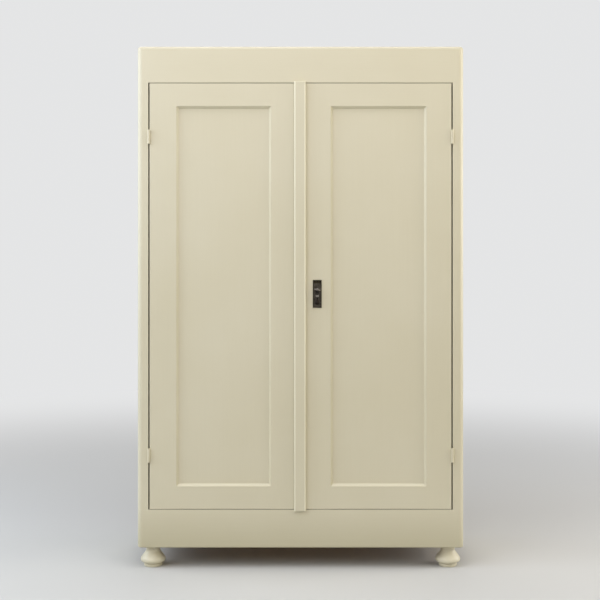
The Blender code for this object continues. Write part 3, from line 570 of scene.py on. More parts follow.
for side, hand in ((-1, "left"), (1, "right")):
    makeFrontStile(side, hand)
    makeSidePanel(side, hand)
makeFrameRail("plinth_rail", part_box("plinth_rail")[0].z, openingLow)
makeFrameRail("top_rail", openingHigh, topUnder, "friezeRail")
makeTopBoard()
print("carcass made")


# Bare pine: shelves on cleats, floor, bearers, stop and back boards

boards = {"soften": 0.0008, "steps": 2, "backRecess": 0.0007}

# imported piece, which way its grain runs, which way its face looks within the tree, how much darker
boardTable = [("floor_board", "x", "x", 0.10), ("door_stop", "x", "y", 0.05),
              ("left_foot_bearer", "y", "x", 0.15), ("right_foot_bearer", "y", "x", 0.12)]
for number in (1, 2, 3):
    boardTable.append((f"shelf_{number}", "x", "x", 0.03 * number))
    boardTable += [(f"{hand}_shelf_cleat_{number}", "y", "x", 0.08) for hand in ("left", "right")]
boardTable += [(f"back_board_{number}", "z", "y", 0.05 + 0.035 * (number % 3)) for number in range(1, 6)]

for number, (node, axis, face, darker) in enumerate(boardTable, 1):
    shape = copyOf(node)
    if node.startswith("back_board"):  # set back a little, so that the nail heads stay within the depth
        for vert in shape.verts:
            if vert.co.y > cadBounds[1].y - near:
                vert.co.y -= boards["backRecess"]
    name = f"{node.split('_')[0]}Cleat{node[-1]}" if "cleat" in node else None
    makePiece(node, shape, barePine(node, axis, face, number, darker), "carcass", name,
              soften=boards["soften"], steps=boards["steps"])
print("pine boards made")


# Feet: turned buns in front, plain square ones behind

bunFoot = {"sides": 96, "top": 0.0767, "spigotRadius": 0.010, "spigotTop": 0.101, "neck": 0.0275,
           "waist": 0.0255, "waistZ": 0.062, "belly": 0.0458, "bellyZ": 0.0235, "swellSteps": 32,
           "groove": 0.0325, "grooveZ": 0.014, "disc": 0.0335, "discTop": 0.012, "discRound": 0.003}
squareFoot = {"edge": 0.0012}


def makeBunFoot(node):
    low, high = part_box(node)
    middle = (low + high) / 2
    waist, waistZ, belly, bellyZ = (bunFoot[word] for word in ("waist", "waistZ", "belly", "bellyZ"))
    groove, edge = bunFoot["groove"], bunFoot["discRound"]
    profile = [(0, bunFoot["spigotTop"]), (bunFoot["spigotRadius"], bunFoot["spigotTop"]),
               (bunFoot["spigotRadius"], bunFoot["top"])]
    profile += arc(bunFoot["neck"], waistZ, waist - bunFoot["neck"], bunFoot["top"] - waistZ, 90, 0, 10)
    for step in range(1, bunFoot["swellSteps"] + 1):
        share = step / bunFoot["swellSteps"]
        swell = (1 - math.cos(math.pi * share)) / 2
        profile.append((waist + (belly - waist) * swell, waistZ - (waistZ - bellyZ) * share))
    profile += arc(groove, bellyZ, belly - groove, bunFoot["grooveZ"] - bellyZ, 4, 90, 20)
    profile += [(groove, bunFoot["discTop"])]
    profile += arc(bunFoot["disc"] - edge, bunFoot["discTop"] - edge, edge, edge, 90, 0, 6)
    profile += arc(bunFoot["disc"] - edge, edge, edge, -edge, 0, 90, 6)
    profile += [(0, 0)]
    shape = turnedProfile(profile, bunFoot["sides"])
    bmesh.ops.remove_doubles(shape, verts=shape.verts, dist=merging)
    shape.transform(Matrix.Translation((middle.x, middle.y, 0)))
    makePiece(node, shape, levelPaint, "carcass", sharpAngle=42)


for hand in ("left", "right"):
    makeBunFoot(f"front_{hand}_foot")
    makePiece(f"rear_{hand}_foot", copyOf(f"rear_{hand}_foot"), uprightPaint, "carcass",
              soften=squareFoot["edge"])
print("feet made")


# Doors: stiles and rails that carry a bevel round a flat panel

door = {"arrises": {"left": (-0.4521, -0.1069), "right": (0.4592, 0.1100)}, "railHeight": 0.083,
        "thickness": 0.024, "step": 0.001, "bevel": 0.0085, "arrisEase": 0.0004, "footEase": 0.0008,
        "panelFace": 0.0105, "panelThickness": 0.008, "grooveStart": 0.0005, "ease": 0.0003,
        "edgeRound": 0.0012, "meetingRound": 0.0004, "meetingBevel": 0.001}


def outerEdge(width, radius, bevel=0.0):
    # from the back to the front, on the edge away from the panel
    edge = [(bevel - width, door["thickness"])]
    for step in range(5):
        angle = math.pi / 2 * step / 4
        edge.append((radius * (1 - math.cos(angle)) - width, radius * (1 - math.sin(angle))))
    return edge


def bevelledEdge():
    # from the front arris to the back: step, bevel, and the groove that holds the panel
    reach, step, soft, foot = door["bevel"], door["step"], door["arrisEase"], door["footEase"]
    groove = door["grooveStart"] - door["ease"]
    front = door["panelFace"] - door["ease"]
    back = door["panelFace"] + door["panelThickness"] + door["ease"]
    edge = [(0, 0), (0, step - 1.5 * soft), (soft * 0.3, step - 0.5 * soft), (soft, step + soft)]
    edge += [(reach - foot, step + reach - foot), (reach - foot * 0.35, step + reach - foot * 0.2)]
    return edge + [(reach, step + reach), (reach, front), (groove, front), (groove, back), (reach, back),
                   (reach, door["thickness"]), (0, door["thickness"])]


def memberShape(place, outer, span, arrisSpan):
    # place turns a distance from the arris, a depth and a length into x, y and z
    shape = bmesh.new()
    moulding = bevelledEdge()
    ends = []
    for end, arris, way in ((span[0], arrisSpan[0], 1), (span[1], arrisSpan[1], -1)):
        flat = [shape.verts.new(place(u, y, end)) for u, y in outer]
        moulded = [shape.verts.new(place(u, y, arris + way * u)) for u, y in moulding]
        corners = []
        if abs(end - arris) > near:
            corners = [shape.verts.new(place(0, y, end)) for y in (0, door["thickness"])]
            shape.faces.new(flat + corners)
            shape.faces.new([corners[0], moulded[0], moulded[1], moulded[-1], corners[1]])
        else:
            shape.faces.new(flat + [moulded[0], moulded[1], moulded[-1]])
        shape.faces.new(moulded[1:])
        ends.append((flat, moulded, corners))
    (flatLow, mouldedLow, cornersLow), (flatHigh, mouldedHigh, cornersHigh) = ends
    for lows, highs in ((flatLow, flatHigh), (mouldedLow, mouldedHigh)):
        for index in range(len(lows) - 1):
            shape.faces.new([lows[index], lows[index + 1], highs[index + 1], highs[index]])
    for flatEnd, cornerEnd in ((-1, 0), (0, -1)):  # the front face, then the back
        cornerLow = [cornersLow[cornerEnd]] if cornersLow else []
        cornerHigh = [cornersHigh[cornerEnd]] if cornersHigh else []
        shape.faces.new([flatLow[flatEnd]] + cornerLow + [mouldedLow[cornerEnd], mouldedHigh[cornerEnd]]
                        + cornerHigh + [flatHigh[flatEnd]])
    return shape


keyhole = {"x": 0.061, "z": 1.018, "radius": 0.0046, "slotWidth": 0.0044, "slotLength": 0.015,
           "start": -0.01, "end": 0.04}


def keyholeTools(start, end):
    # the round hole for the key's shank and the slot below it for the bit
    x, z, slot = keyhole["x"], keyhole["z"], keyhole["slotWidth"] / 2
    return [("DIFFERENCE", rodBetween((x, start, z), (x, end, z), keyhole["radius"])),
            ("DIFFERENCE", blockBetween((x - slot, start, z - keyhole["slotLength"]), (x + slot, end, z)))]


doorLow, doorHigh = (corner.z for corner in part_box("left_door_hinge_stile"))
arrisLow, arrisHigh = doorLow + door["railHeight"], doorHigh - door["railHeight"]


def makeDoor(side, hand):
    body = f"{hand}_door"
    outer, inner = door["arrises"][hand]
    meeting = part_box(f"{body}_meeting_stile")[0 if side > 0 else 1].x
    hinged = max(abs(corner.x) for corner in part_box(f"{body}_hinge_stile"))
    upright = (doorLow, doorHigh), (arrisLow, arrisHigh)
    shape = memberShape(lambda u, y, w: (outer - side * u, frontY + y, w),
                        outerEdge(hinged - abs(outer), door["edgeRound"]), *upright)
    makePiece(f"{body}_hinge_stile", shape, uprightPaint, body)
    shape = memberShape(lambda u, y, w: (inner + side * u, frontY + y, w),
                        outerEdge(abs(inner - meeting), door["meetingRound"], door["meetingBevel"]), *upright)
    hole = keyholeTools(frontY + keyhole["start"], frontY + keyhole["end"]) if side > 0 else ()
    makePiece(f"{body}_meeting_stile", shape, uprightPaint, body, tools=hole)
    level = (sorted((inner, outer)),) * 2
    for end, arris, way in (("bottom", arrisLow, 1), ("top", arrisHigh, -1)):
        shape = memberShape(lambda u, y, w: (w, frontY + y, arris + way * u),
                            outerEdge(door["railHeight"], door["edgeRound"]), *level)
        makePiece(f"{body}_{end}_rail", shape, levelPaint, body)
    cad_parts[f"{body}_panel"].material_slots[0].material = uprightPaint


makeDoor(-1, "left")
makeDoor(1, "right")


meetingStrip = {"radius": 0.004, "steps": 10}

low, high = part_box("meeting_strip")
shape = blockBetween(low, (high.x, frontY, high.z))
roundOff(shape, edgesAt(shape, y=low.y), meetingStrip["radius"], meetingStrip["steps"])
makePiece("meeting_strip", shape, stripPaint, "right_door")
print("doors made")


# Hinges: painted knuckles outside, leaves between the door and its stile

hinge = {"x": 0.55225, "y": -0.21185, "knuckle": 0.0048, "halfHeight": 0.0255, "round": 0.0015,
         "pin": 0.0025, "pinLength": 0.018, "pinTip": 0.0006, "frameLeaf": 0.5542, "doorLeaf": 0.5503,
         "leafDepth": 0.022, "leaf": 0.0012, "ease": 0.0003, "sides": 48}


def makeHinge(side, hand, level, middle):
    place = Matrix.Translation((side * hinge["x"], hinge["y"], middle))
    radius, half, edge, ease = hinge["knuckle"], hinge["halfHeight"], hinge["round"], hinge["ease"]
    pin, length, tip = hinge["pin"], hinge["pinLength"], hinge["pinTip"]
    lower = [(0, length), (pin - tip, length), (pin, length - tip), (pin, -ease), (radius - ease, -ease),
             (radius, -2 * ease)]
    lower += arc(radius - edge, edge - half, edge, -edge, 0, 90, 8) + [(0, -half)]
    upper = [(0, half)] + arc(radius - edge, half - edge, edge, edge, 90, 0, 8)
    upper += [(radius, ease), (radius - ease, 0), (pin + ease, 0), (pin + ease, length + ease),
              (0, length + ease)]
    leafFront = frontY + ease
    for kind, body, profile, start, way in (("frame", "carcass", lower, -half, 1),
                                            ("door", f"{hand}_door", upper, 0, -1)):
        leafEdge = side * hinge[kind + "Leaf"]
        lowX, highX = sorted((leafEdge, leafEdge - side * hinge["leaf"] * way))
        shape = turnedProfile(profile, hinge["sides"])
        shape.transform(place)
        leaf = blockBetween((lowX, leafFront, middle - half),
                            (highX, leafFront + hinge["leafDepth"], middle + half))
        neck = blockBetween((lowX, hinge["y"] + pin + 2 * ease, middle + start + ease),
                            (highX, leafFront + hinge["leafDepth"] / 2, middle + start + half - ease))
        makePiece(f"{hand}_{level}_{kind}_hinge", shape, uprightPaint, body,
                  tools=[("UNION", leaf), ("UNION", neck)], sharpAngle=40)


for side, hand in ((-1, "left"), (1, "right")):
    for level in ("upper", "lower"):
        low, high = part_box(f"{hand}_{level}_door_hinge")
        makeHinge(side, hand, level, (low.z + high.z) / 2)
print("hinges made")


# Lock plate with a raised border, three short flutes at its head and the keyhole

lockPlate = {"border": 0.0028, "recess": 0.0009, "edge": 0.0010, "bandHeight": 0.0115, "fluteRadius": 0.0026,
             "fluteLength": 0.0072, "fluteSpacing": 0.0098, "fluteDepth": 0.0015, "fluteDrop": 0.0006,
             "grimeDepth": 0.0003, "cleanBack": 0.0006, "flatWithin": 0.0001, "toolReach": 0.004}

low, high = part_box("lock_plate")
plateFront, plateBack = low.y, frontY
plateMiddle = (low.x + high.x) / 2
border, reach, radius = lockPlate["border"], lockPlate["toolReach"], lockPlate["fluteRadius"]
bandFoot = high.z - lockPlate["bandHeight"]
fieldFace = plateFront + lockPlate["recess"]
shape = blockBetween(low, (high.x, plateBack, high.z))
roundOff(shape, edgesAt(shape, y=plateFront), lockPlate["edge"], 4)
field = blockBetween((low.x + border, plateFront - reach, low.z + border),
                     (high.x - border, fieldFace, bandFoot))
roundOff(field, edgesAt(field, y=fieldFace), lockPlate["recess"] * 0.8, 3)
plateTools = [("DIFFERENCE", field)]
half = lockPlate["fluteLength"] / 2 - radius
y = plateFront - radius + lockPlate["fluteDepth"]
z = (high.z + bandFoot) / 2 - lockPlate["fluteDrop"]
for index in (-1, 0, 1):
    x = plateMiddle + index * lockPlate["fluteSpacing"]
    flute = rodBetween((x, y, z - half - radius), (x, y, z + half + radius), radius, 24, edge=radius * 0.9)
    plateTools.append(("DIFFERENCE", flute))
plateTools += keyholeTools(plateFront - reach, plateBack + reach)
plate = makePiece("lock_plate", shape, borderBronze, "right_door", tools=plateTools,
                  sharpAngle=38)
plate.data.materials.append(fieldBronze)
plate.data.materials.append(bronze)
for face in plate.data.polygons:  # the field is worn lighter, and the flutes are dark with grime
    y, z = face.center.y, face.center.z
    if abs(y - plateFront - lockPlate["recess"]) < lockPlate["flatWithin"] and face.normal.y < -0.9:
        face.material_index = 1
    elif z > bandFoot and plateFront + lockPlate["grimeDepth"] < y < plateBack - lockPlate["cleanBack"]:
        face.material_index = 2


# Key: ring bow, collar, shank and notched bit, tilted a little in its hole

key = {"tilt": 10.5, "start": -0.0029, "shank": 0.0031, "shankOut": 0.010, "shankEdge": 0.0006,
       "bow": 0.0092, "wire": 0.0026, "collar": 0.0050, "collarLength": 0.003, "collarGap": 0.0003,
       "collarEdge": 0.0010, "bitReach": 0.0125, "bitThickness": 0.0026, "bitLength": 0.007,
       "notchLength": 0.002, "notchDepth": 0.004, "notchOver": 0.004, "notchHalf": 0.005, "bitY": 0.0266,
       "tip": 0.04055}

bowY = key["start"] - key["shankOut"] - key["wire"] - key["bow"]
collarY = key["start"] - key["collarLength"] - key["collarGap"]
placed = (Matrix.Translation((keyhole["x"], frontY, keyhole["z"]))
          @ Matrix.Rotation(math.radians(key["tilt"]), 4, "Y"))
shank = rodBetween((0, bowY + key["bow"], 0), (0, key["tip"], 0), key["shank"], 40, edge=key["shankEdge"])
bow = ringOf(key["bow"], key["wire"], 64, 24)
bow.transform(Matrix.Translation((0, bowY, 0)))
bit = blockBetween((0, key["bitY"], -key["bitThickness"] / 2),
                   (key["bitReach"], key["bitY"] + key["bitLength"], key["bitThickness"] / 2))
notchStart = key["bitY"] + (key["bitLength"] - key["notchLength"]) / 2
notch = blockBetween((key["bitReach"] - key["notchDepth"], notchStart, -key["notchHalf"]),
                     (key["bitReach"] + key["notchOver"], notchStart + key["notchLength"], key["notchHalf"]))
collar = rodBetween((0, collarY, 0), (0, collarY + key["collarLength"], 0), key["collar"], 40,
                    edge=key["collarEdge"])
keyTools = [("UNION", bow), ("UNION", bit), ("DIFFERENCE", notch), ("UNION", collar)]
for operation, tool in keyTools:
    tool.transform(placed)
shank.transform(placed)
makePiece("key", shank, keySteel, "key", tools=keyTools, sharpAngle=40)


# Pull: a pear drop on the cross pin of a slotted post

pull = {"z": 0.994, "y": -0.21595, "postHalfWidth": 0.0055, "postHalfHeight": 0.0045, "postBack": -0.20995,
        "postDepth": 0.0105, "postRound": 0.0018, "postCorner": 0.003, "slot": 0.0042, "slotOver": 0.004,
        "slotHalfHeight": 0.009, "backWall": 0.0015, "pin": 0.0013, "pinInset": 0.0004, "length": 0.032,
        "radius": 0.008, "flat": 0.62, "neck": 0.0026, "eye": 0.0036, "eyeThickness": 0.0034,
        "ease": 0.0003, "steps": 20}

pivot = Vector((plateMiddle, pull["y"], pull["z"]))
halfX, halfZ, slotHalf = pull["postHalfWidth"], pull["postHalfHeight"], pull["slot"] / 2
postFront = pull["postBack"] - pull["postDepth"]
shape = blockBetween((pivot.x - halfX, postFront, pivot.z - halfZ),
                     (pivot.x + halfX, pull["postBack"], pivot.z + halfZ))
roundOff(shape, edgesAt(shape, y=postFront, z=pivot.z + halfZ), pull["postRound"], 5)
for side in (-1, 1):  # the prongs narrow downwards
    roundOff(shape, edgesAt(shape, x=pivot.x + side * halfX, z=pivot.z - halfZ), pull["postCorner"], 1)
slot = blockBetween((pivot.x - slotHalf, postFront - pull["slotOver"], pivot.z - pull["slotHalfHeight"]),
                    (pivot.x + slotHalf, pull["postBack"] - pull["backWall"],
                     pivot.z + pull["slotHalfHeight"]))
across = Vector((halfX - pull["pinInset"], 0, 0))
crossPin = rodBetween(pivot - across, pivot + across, pull["pin"], 24)
# the whole post takes the lighter bronze, a painted highlight
makePiece("pull_post", shape, highlightBronze, "right_door",
          tools=[("DIFFERENCE", slot), ("UNION", crossPin)], sharpAngle=38)

neck, radius, steps = pull["neck"], pull["radius"], pull["steps"]
pearTop = -(pull["eye"] + halfZ)
pearMiddle = radius - pull["length"]
profile = [(0, pearTop), (neck, pearTop)]
for step in range(1, steps + 1):
    swell = math.sin(math.pi / 2 * step / steps) ** 2
    profile.append((neck + (radius - neck) * swell, pearTop - (pearTop - pearMiddle) * step / steps))
profile += arc(0, pearMiddle, radius, -radius, 6, 84, 14) + [(0, -pull["length"])]
pear = turnedProfile(profile, 64)
pear.transform(Matrix.Translation(pivot) @ Matrix.Diagonal((1, pull["flat"], 1, 1)))
across = Vector((pull["eyeThickness"] / 2, 0, 0))
neckHalf = neck * pull["flat"]
neckBlock = blockBetween(pivot + Vector((-across.x, -neckHalf, pearTop - neck)),
                         pivot + Vector((across.x, neckHalf, 0)))
eye = rodBetween(pivot - across, pivot + across, pull["eye"], 32)
bore = rodBetween(pivot - across * 3, pivot + across * 3, pull["pin"] + pull["ease"], 24)
drop = makePiece("drop_pull", pear, bronze, "drop_pull",
                 tools=[("UNION", neckBlock), ("UNION", eye), ("DIFFERENCE", bore)], sharpAngle=38)
drop.data.materials.append(highlightBronze)
for face in drop.data.polygons:  # the eye is painted lighter, a painted highlight
    if face.center.z > pivot.z - halfZ:
        face.material_index = 1
print("lock plate, key and pull made")


# Inside the doors: lock case and bolt, keeper, and two slide bolts

ironwork = {"caseEdge": 0.0006, "boltEdge": 0.0005, "keeperEdge": 0.0004, "plateEdge": 0.0003,
            "rodRadius": 0.004, "rodRound": 0.0016, "knobNeck": 0.0026, "knobReach": 0.014,
            "knobFlare": 0.0006, "knobStart": 0.001, "neckStart": 0.005, "neckOver": 0.0005}


def makeIron(node, body, edge):
    makePiece(node, copyOf(node), lockSteel, body, soften=edge)


def makeSlideBolt(node):
    makeIron(node + "_plate", "left_door", ironwork["plateEdge"])
    plateLow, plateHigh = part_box(node + "_plate")
    low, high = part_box(node)
    radius, neck, reach = ironwork["rodRadius"], ironwork["knobNeck"], ironwork["knobReach"]
    x, y, knobZ = (low.x + high.x) / 2, low.y + radius, (plateLow.z + plateHigh.z) / 2
    rod = rodBetween((x, y, low.z), (x, y, high.z), radius, 40, edge=ironwork["rodRound"])
    profile = [(0, ironwork["knobStart"]), (neck + ironwork["knobFlare"], ironwork["knobStart"]),
               (neck, ironwork["neckStart"]), (neck, reach - 2 * radius + ironwork["neckOver"])]
    profile += arc(0, reach - radius, radius, radius, -50, 84, 14) + [(0, reach)]
    knob = turnedProfile(profile, 40)
    knob.transform(Matrix.Translation((x, y, knobZ)) @ Matrix.Rotation(math.radians(-90), 4, "X"))
    makePiece(node, rod, lockSteel, node, tools=[("UNION", knob)], sharpAngle=40)


makeIron("lock_case", "right_door", ironwork["caseEdge"])
makeIron("lock_bolt", "lock_bolt", ironwork["boltEdge"])
makeIron("lock_keeper", "left_door", ironwork["keeperEdge"])
makeSlideBolt("upper_bolt")
makeSlideBolt("lower_bolt")
print("locks and bolts made")


# Screws and nails: one tree sets a head on each marked place

headShape = {"sides": 20, "topShare": 0.7, "slotLength": 3.0, "turn": 1.4}  # the slot's length in radii

# each kind says only what differs from a plain head
plainHead = {"Slotted": True, "Slot Width": 0.0008, "Slot Depth": 0.0006, "Seed": 1}
fasteners = {"frameLeafScrew": {"Head Radius": 0.0026, "Head Rise": 0.00014, "Slot Depth": 0.0001, "Seed": 3},
             "doorLeafScrew": {"Head Radius": 0.0026, "Head Rise": 0.00014, "Slot Depth": 0.0001, "Seed": 5},
             "cleatScrew": {"Head Radius": 0.0036, "Head Rise": 0.0011, "Seed": 7},
             "plateScrew": {"Head Radius": 0.0022, "Head Rise": 0.0008, "Seed": 11},
             "caseScrew": {"Head Radius": 0.0030, "Head Rise": 0.0010, "Seed": 13},
             "platePin": {"Head Radius": 0.0013, "Head Rise": 0.0009, "Slotted": False},
             "nail": {"Head Radius": 0.0026, "Head Rise": 0.0005, "Slotted": False}}


def fastenerTree():
    tree = bpy.data.node_groups.new("fastenerHeads", "GeometryNodeTree")
    tree.is_modifier = True
    wanted = (("Places", "Geometry"), ("Head Radius", "Float"), ("Head Rise", "Float"), ("Slotted", "Bool"),
              ("Slot Width", "Float"), ("Slot Depth", "Float"), ("Seed", "Int"), ("Material", "Material"))
    for name, kind in wanted:
        tree.interface.new_socket(name, in_out="INPUT", socket_type="NodeSocket" + kind)
    tree.interface.new_socket("Heads", in_out="OUTPUT", socket_type="NodeSocketGeometry")
    given = addNode(tree, "NodeGroupInput").outputs
    radius, rise = given["Head Radius"], given["Head Rise"]
    topRadius = twoValues(tree, "MULTIPLY", radius, headShape["topShare"])
    head = addNode(tree, "GeometryNodeMeshCone",
                   [("Vertices", headShape["sides"]), ("Radius Bottom", radius), ("Radius Top", topRadius),
                    ("Depth", rise)]).outputs["Mesh"]
    slotLength = twoValues(tree, "MULTIPLY", radius, headShape["slotLength"])
    slotHeight = twoValues(tree, "MULTIPLY", given["Slot Depth"], 2.0)
    slotSize = addNode(tree, "ShaderNodeCombineXYZ", [("X", slotLength), ("Y", given["Slot Width"]),
                                                      ("Z", slotHeight)]).outputs[0]
    slotBlock = addNode(tree, "GeometryNodeMeshCube", [("Size", slotSize)]).outputs["Mesh"]
    raised = addNode(tree, "ShaderNodeCombineXYZ", [("Z", rise)]).outputs[0]
    slotPlaced = addNode(tree, "GeometryNodeTransform", [("Geometry", slotBlock),
                                                         ("Translation", raised)]).outputs[0]
    slotted = addNode(tree, "GeometryNodeMeshBoolean", [("Mesh 1", head), ("Mesh 2", slotPlaced)],
                      operation="DIFFERENCE").outputs["Mesh"]
    chosen = addNode(tree, "GeometryNodeSwitch",
                     [("Switch", given["Slotted"]), ("False", head), ("True", slotted)],
                     input_type="GEOMETRY").outputs[0]
    facing = addNode(tree, "GeometryNodeInputNamedAttribute", [("Name", "facing")],
                     data_type="FLOAT_VECTOR").outputs["Attribute"]
    upright = addNode(tree, "FunctionNodeAlignRotationToVector", [("Vector", facing)], axis="Z").outputs[0]
    anyTurn = addNode(tree, "FunctionNodeRandomValue",
                      [(2, -headShape["turn"]), (3, headShape["turn"]), ("Seed", given["Seed"])],
                      data_type="FLOAT").outputs[1]
    turned = addNode(tree, "ShaderNodeCombineXYZ", [("Z", anyTurn)]).outputs[0]
    turning = addNode(tree, "FunctionNodeEulerToRotation", [(0, turned)]).outputs[0]
    laid = addNode(tree, "FunctionNodeRotateRotation", [(0, upright), (1, turning)],
                   rotation_space="LOCAL").outputs[0]
    placed = addNode(tree, "GeometryNodeInstanceOnPoints", [("Points", given["Places"]), ("Instance", chosen),
                                                            ("Rotation", laid)]).outputs[0]
    real = addNode(tree, "GeometryNodeRealizeInstances", [(0, placed)]).outputs[0]
    dressed = addNode(tree, "GeometryNodeSetMaterial", [("Geometry", real),
                                                        ("Material", given["Material"])]).outputs[0]
    addNode(tree, "NodeGroupOutput", [(0, dressed)])
    return tree


headTree = fastenerTree()
headInputs = {item.name: item.identifier for item in headTree.interface.items_tree if item.in_out == "INPUT"}


def makeHeads(name, body, places, material, kind):
    # each place is where the head sits and which way it faces
    mesh = bpy.data.meshes.new(name)
    mesh.from_pydata([place for place, facing in places], [], [])
    facings = mesh.attributes.new("facing", "FLOAT_VECTOR", "POINT")
    facings.data.foreach_set("vector", [part for place, facing in places for part in facing])
    heads = bpy.data.objects.new(name, mesh)
    sceneRoot.objects.link(heads)
    modifier = heads.modifiers.new("heads", "NODES")
    modifier.node_group = headTree
    for inputName, value in {**plainHead, **fasteners[kind], "Material": material}.items():
        modifier[headInputs[inputName]] = value
    settle(heads)
    heads.data.shade_smooth()
    heads.data.set_sharp_from_angle(angle=math.radians(30))
    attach(heads, body)


def cornersOf(node, insetX, insetZ):
    # seen from the front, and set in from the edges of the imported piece
    low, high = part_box(node)
    return [(x, z) for x in (low.x + insetX, high.x - insetX) for z in (low.z + insetZ, high.z - insetZ)]


# each leaf has three screws: how far from its middle and how far behind the door's front
leafScrews = {"frameX": 0.5530, "doorX": 0.5515, "places": ((-0.0175, 0.0155), (0, 0.0125), (0.0175, 0.0155))}

frameLeafPlaces, doorLeafPlaces = [], {"left": [], "right": []}
for side, hand in ((-1, "left"), (1, "right")):
    for level in ("upper", "lower"):
        low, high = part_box(f"{hand}_{level}_door_hinge")
        middle = (low.z + high.z) / 2
        for rise, back in leafScrews["places"]:
            y, z = frontY + back, middle + rise
            frameLeafPlaces.append(((side * leafScrews["frameX"], y, z), (-side, 0, 0)))
            doorLeafPlaces[hand].append(((side * leafScrews["doorX"], y, z), (side, 0, 0)))
makeHeads("frameLeafScrews", "carcass", frameLeafPlaces, uprightPaint, "frameLeafScrew")
for hand in ("left", "right"):
    makeHeads(f"{hand}DoorLeafScrews", f"{hand}_door", doorLeafPlaces[hand], uprightPaint,
              "doorLeafScrew")

# shares of a cleat's length, and distances from the edges of an iron
screwing = {"cleatShares": (0.12, 0.5, 0.88), "boltPlate": (0.0042, 0.003), "boltPlateFace": 0.0015,
            "keeper": 0.0045, "keeperFace": 0.002, "case": 0.0065, "pin": 0.0024, "pinSink": 0.0001}

cleatPlaces = []
for side, hand in ((-1, "left"), (1, "right")):
    for number in (1, 2, 3):
        low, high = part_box(f"{hand}_shelf_cleat_{number}")
        x, z = min(abs(low.x), abs(high.x)) * side, (low.z + high.z) / 2
        for share in screwing["cleatShares"]:
            cleatPlaces.append(((x, low.y + (high.y - low.y) * share, z), (-side, 0, 0)))
makeHeads("cleatScrews", "carcass", cleatPlaces, lockSteel, "cleatScrew")

platePlaces = []
for node in ("upper_bolt_plate", "lower_bolt_plate"):
    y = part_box(node)[0].y + screwing["boltPlateFace"]
    platePlaces += [((x, y, z), (0, 1, 0)) for x, z in cornersOf(node, *screwing["boltPlate"])]
low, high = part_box("lock_keeper")
x, y = (low.x + high.x) / 2, low.y + screwing["keeperFace"]
for z in (low.z + screwing["keeper"], high.z - screwing["keeper"]):
    platePlaces.append(((x, y, z), (0, 1, 0)))
makeHeads("leftDoorIronScrews", "left_door", platePlaces, lockSteel, "plateScrew")

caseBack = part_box("lock_case")[1].y
casePlaces = [((x, caseBack, z), (0, 1, 0))
              for x, z in cornersOf("lock_case", screwing["case"], screwing["case"])]
makeHeads("lockCaseScrews", "right_door", casePlaces, lockSteel, "caseScrew")

pinPlaces = [((x, plateFront + screwing["pinSink"], z), (0, -1, 0))
             for x, z in cornersOf("lock_plate", screwing["pin"], screwing["pin"])]
makeHeads("lockPlatePins", "right_door", pinPlaces, bronze, "platePin")

# two nails across each back board at every shelf, those past turnX a little higher, and a row up each side
nailing = {"floorRise": 0.010, "shelfRise": 0.009, "across": (0.045, 0.185), "turnX": 0.1, "higher": 0.004,
           "lower": 0.003, "sink": 0.00005, "sideX": 0.5795, "first": 0.12, "spacing": 0.212, "count": 9}

nailPlaces = []
boardFace = cadBounds[1].y - boards["backRecess"] - nailing["sink"]
nailRows = [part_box("floor_board")[0].z + nailing["floorRise"]]
nailRows += [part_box(f"shelf_{number}")[0].z + nailing["shelfRise"] for number in (1, 2, 3)]
for number in range(1, 6):
    low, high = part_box(f"back_board_{number}")
    for row in nailRows:
        for x in [low.x + across for across in nailing["across"]]:
            z = row + (nailing["higher"] if x > nailing["turnX"] else -nailing["lower"])
            nailPlaces.append(((x, boardFace, z), (0, 1, 0)))
for side in (-1, 1):
    for step in range(nailing["count"]):
        z = nailing["first"] + nailing["spacing"] * step
        nailPlaces.append(((side * nailing["sideX"], boardFace, z), (0, 1, 0)))
makeHeads("backBoardNails", "carcass", nailPlaces, lockSteel, "nail")
print("screws and nails set")


# Stage: plain pale floor and soft lights

stage = {"floorColour": (0.60, 0.595, 0.575), "farColour": (0.78, 0.785, 0.79), "floorSize": 60.0,
         "floorRoughness": 0.85, "cloudScale": 0.7, "cloudShade": 0.985, "fadeStart": 0.8, "fadeEnd": 5.0,
         "lampAim": (0, -0.1, 1.05),
         "sky": [(0.0, (0.05, 0.05, 0.05)), (0.1, (0.06, 0.06, 0.06)), (1.0, (0.28, 0.28, 0.29))]}

# name, place, size, watts and colour; daylight is cooler on the left and warmer on the right
lamps = [("ceiling", (0.0, -1.7, 3.6), (3.2, 2.2), 37, (0.95, 0.92, 1.0)),
         ("overhead", (0.0, -0.6, 3.9), (2.4, 0.9), 15, (0.88, 0.94, 1.0)),
         ("frontLeft", (-2.6, -3.0, 2.5), (1.6, 2.0), 38, (0.91, 0.95, 1.0)),
         ("sideLeft", (-3.3, -1.1, 2.1), (1.2, 2.2), 45, (0.83, 0.91, 1.0)),
         ("edgeLeft", (-3.4, 0.5, 1.5), (1.2, 2.0), 30, (0.76, 0.87, 1.0)),
         ("frontRight", (2.6, -3.0, 2.5), (1.6, 2.0), 19, (1.0, 0.94, 0.72)),
         ("sideRight", (3.3, -1.1, 2.1), (1.2, 2.2), 26, (1.0, 0.94, 0.70)),
         ("edgeRight", (4.0, 0.3, 1.5), (1.2, 2.0), 60, (0.94, 0.94, 1.0)),
         ("front", (0.0, -5.2, 2.4), (3.0, 1.6), 19, (1.0, 0.98, 0.94)),
         ("behind", (0.0, 3.4, 3.3), (3.0, 2.0), 39, (1.0, 0.99, 0.97))]


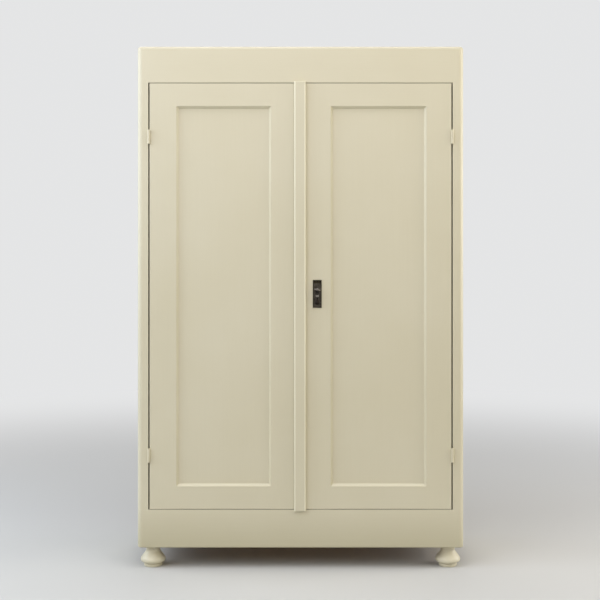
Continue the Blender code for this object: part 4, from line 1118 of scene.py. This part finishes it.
def makeFloor():
    mesh = bpy.data.meshes.new("floor")
    half = stage["floorSize"] / 2
    mesh.from_pydata([(-half, -half, 0), (half, -half, 0), (half, half, 0), (-half, half, 0)], [],
                     [(0, 1, 2, 3)])
    floor = bpy.data.objects.new("floor", mesh)
    sceneRoot.objects.link(floor)
    material, tree, place, shader = newMaterial("paleFloor")
    clouds = stretchedNoise(tree, place, [stage["cloudScale"]] * 3, 3.0)
    darker = [share * stage["cloudShade"] for share in stage["floorColour"]]
    tone = ramp(tree, clouds, [(0.3, darker), (0.7, stage["floorColour"])])
    tree.links.new(tone, shader.inputs["Base Color"])
    shader.inputs["Roughness"].default_value = stage["floorRoughness"]
    # away from the cupboard the camera sees the floor melt into the backdrop
    reach = addNode(tree, "ShaderNodeVectorMath", [(0, place)], operation="LENGTH").outputs["Value"]
    fade = addNode(tree, "ShaderNodeMapRange",
                   [("Value", reach), ("From Min", stage["fadeStart"]), ("From Max", stage["fadeEnd"])],
                   interpolation_type="SMOOTHERSTEP").outputs["Result"]
    seen = addNode(tree, "ShaderNodeLightPath").outputs["Is Camera Ray"]
    backdrop = addNode(tree, "ShaderNodeEmission", [("Color", (*stage["farColour"], 1))]).outputs[0]
    mixed = addNode(tree, "ShaderNodeMixShader", [(0, allOf(tree, fade, seen)), (1, shader.outputs[0]),
                                                  (2, backdrop)]).outputs[0]
    tree.links.new(mixed, tree.nodes["Material Output"].inputs["Surface"])
    floor.data.materials.append(material)


def makeWorld():
    # brighter overhead, dim at the horizon; the camera, metal and glass see one plain pale tone
    world = bpy.data.worlds.new("room")
    bpy.context.scene.world = world
    world.use_nodes = True
    tree = world.node_tree
    direction = addNode(tree, "ShaderNodeTexCoord").outputs["Generated"]
    height = addNode(tree, "ShaderNodeSeparateXYZ", [(0, direction)]).outputs["Z"]
    sky = ramp(tree, height, stage["sky"])
    rays = addNode(tree, "ShaderNodeLightPath").outputs
    seen = twoValues(tree, "MAXIMUM", rays["Is Camera Ray"], rays["Is Glossy Ray"])
    seen = twoValues(tree, "MAXIMUM", seen, rays["Is Transmission Ray"])
    tree.links.new(mixColours(tree, seen, sky, stage["farColour"]), tree.nodes["Background"].inputs["Color"])


def makeLight(name, place, size, power, colour):
    data = bpy.data.lights.new(name, "AREA")
    data.shape = "RECTANGLE"
    data.size, data.size_y = size
    data.energy = power
    data.color = colour
    light = bpy.data.objects.new(name, data)
    light.location = place
    aim = Vector(stage["lampAim"]) - Vector(place)
    light.rotation_euler = aim.to_track_quat("-Z", "Y").to_euler()
    sceneRoot.objects.link(light)


makeFloor()
makeWorld()
for name, place, size, power, colour in lamps:
    makeLight(name, place, size, power, colour)
bpy.context.scene.view_settings.view_transform = "Standard"
print("stage and lights made")
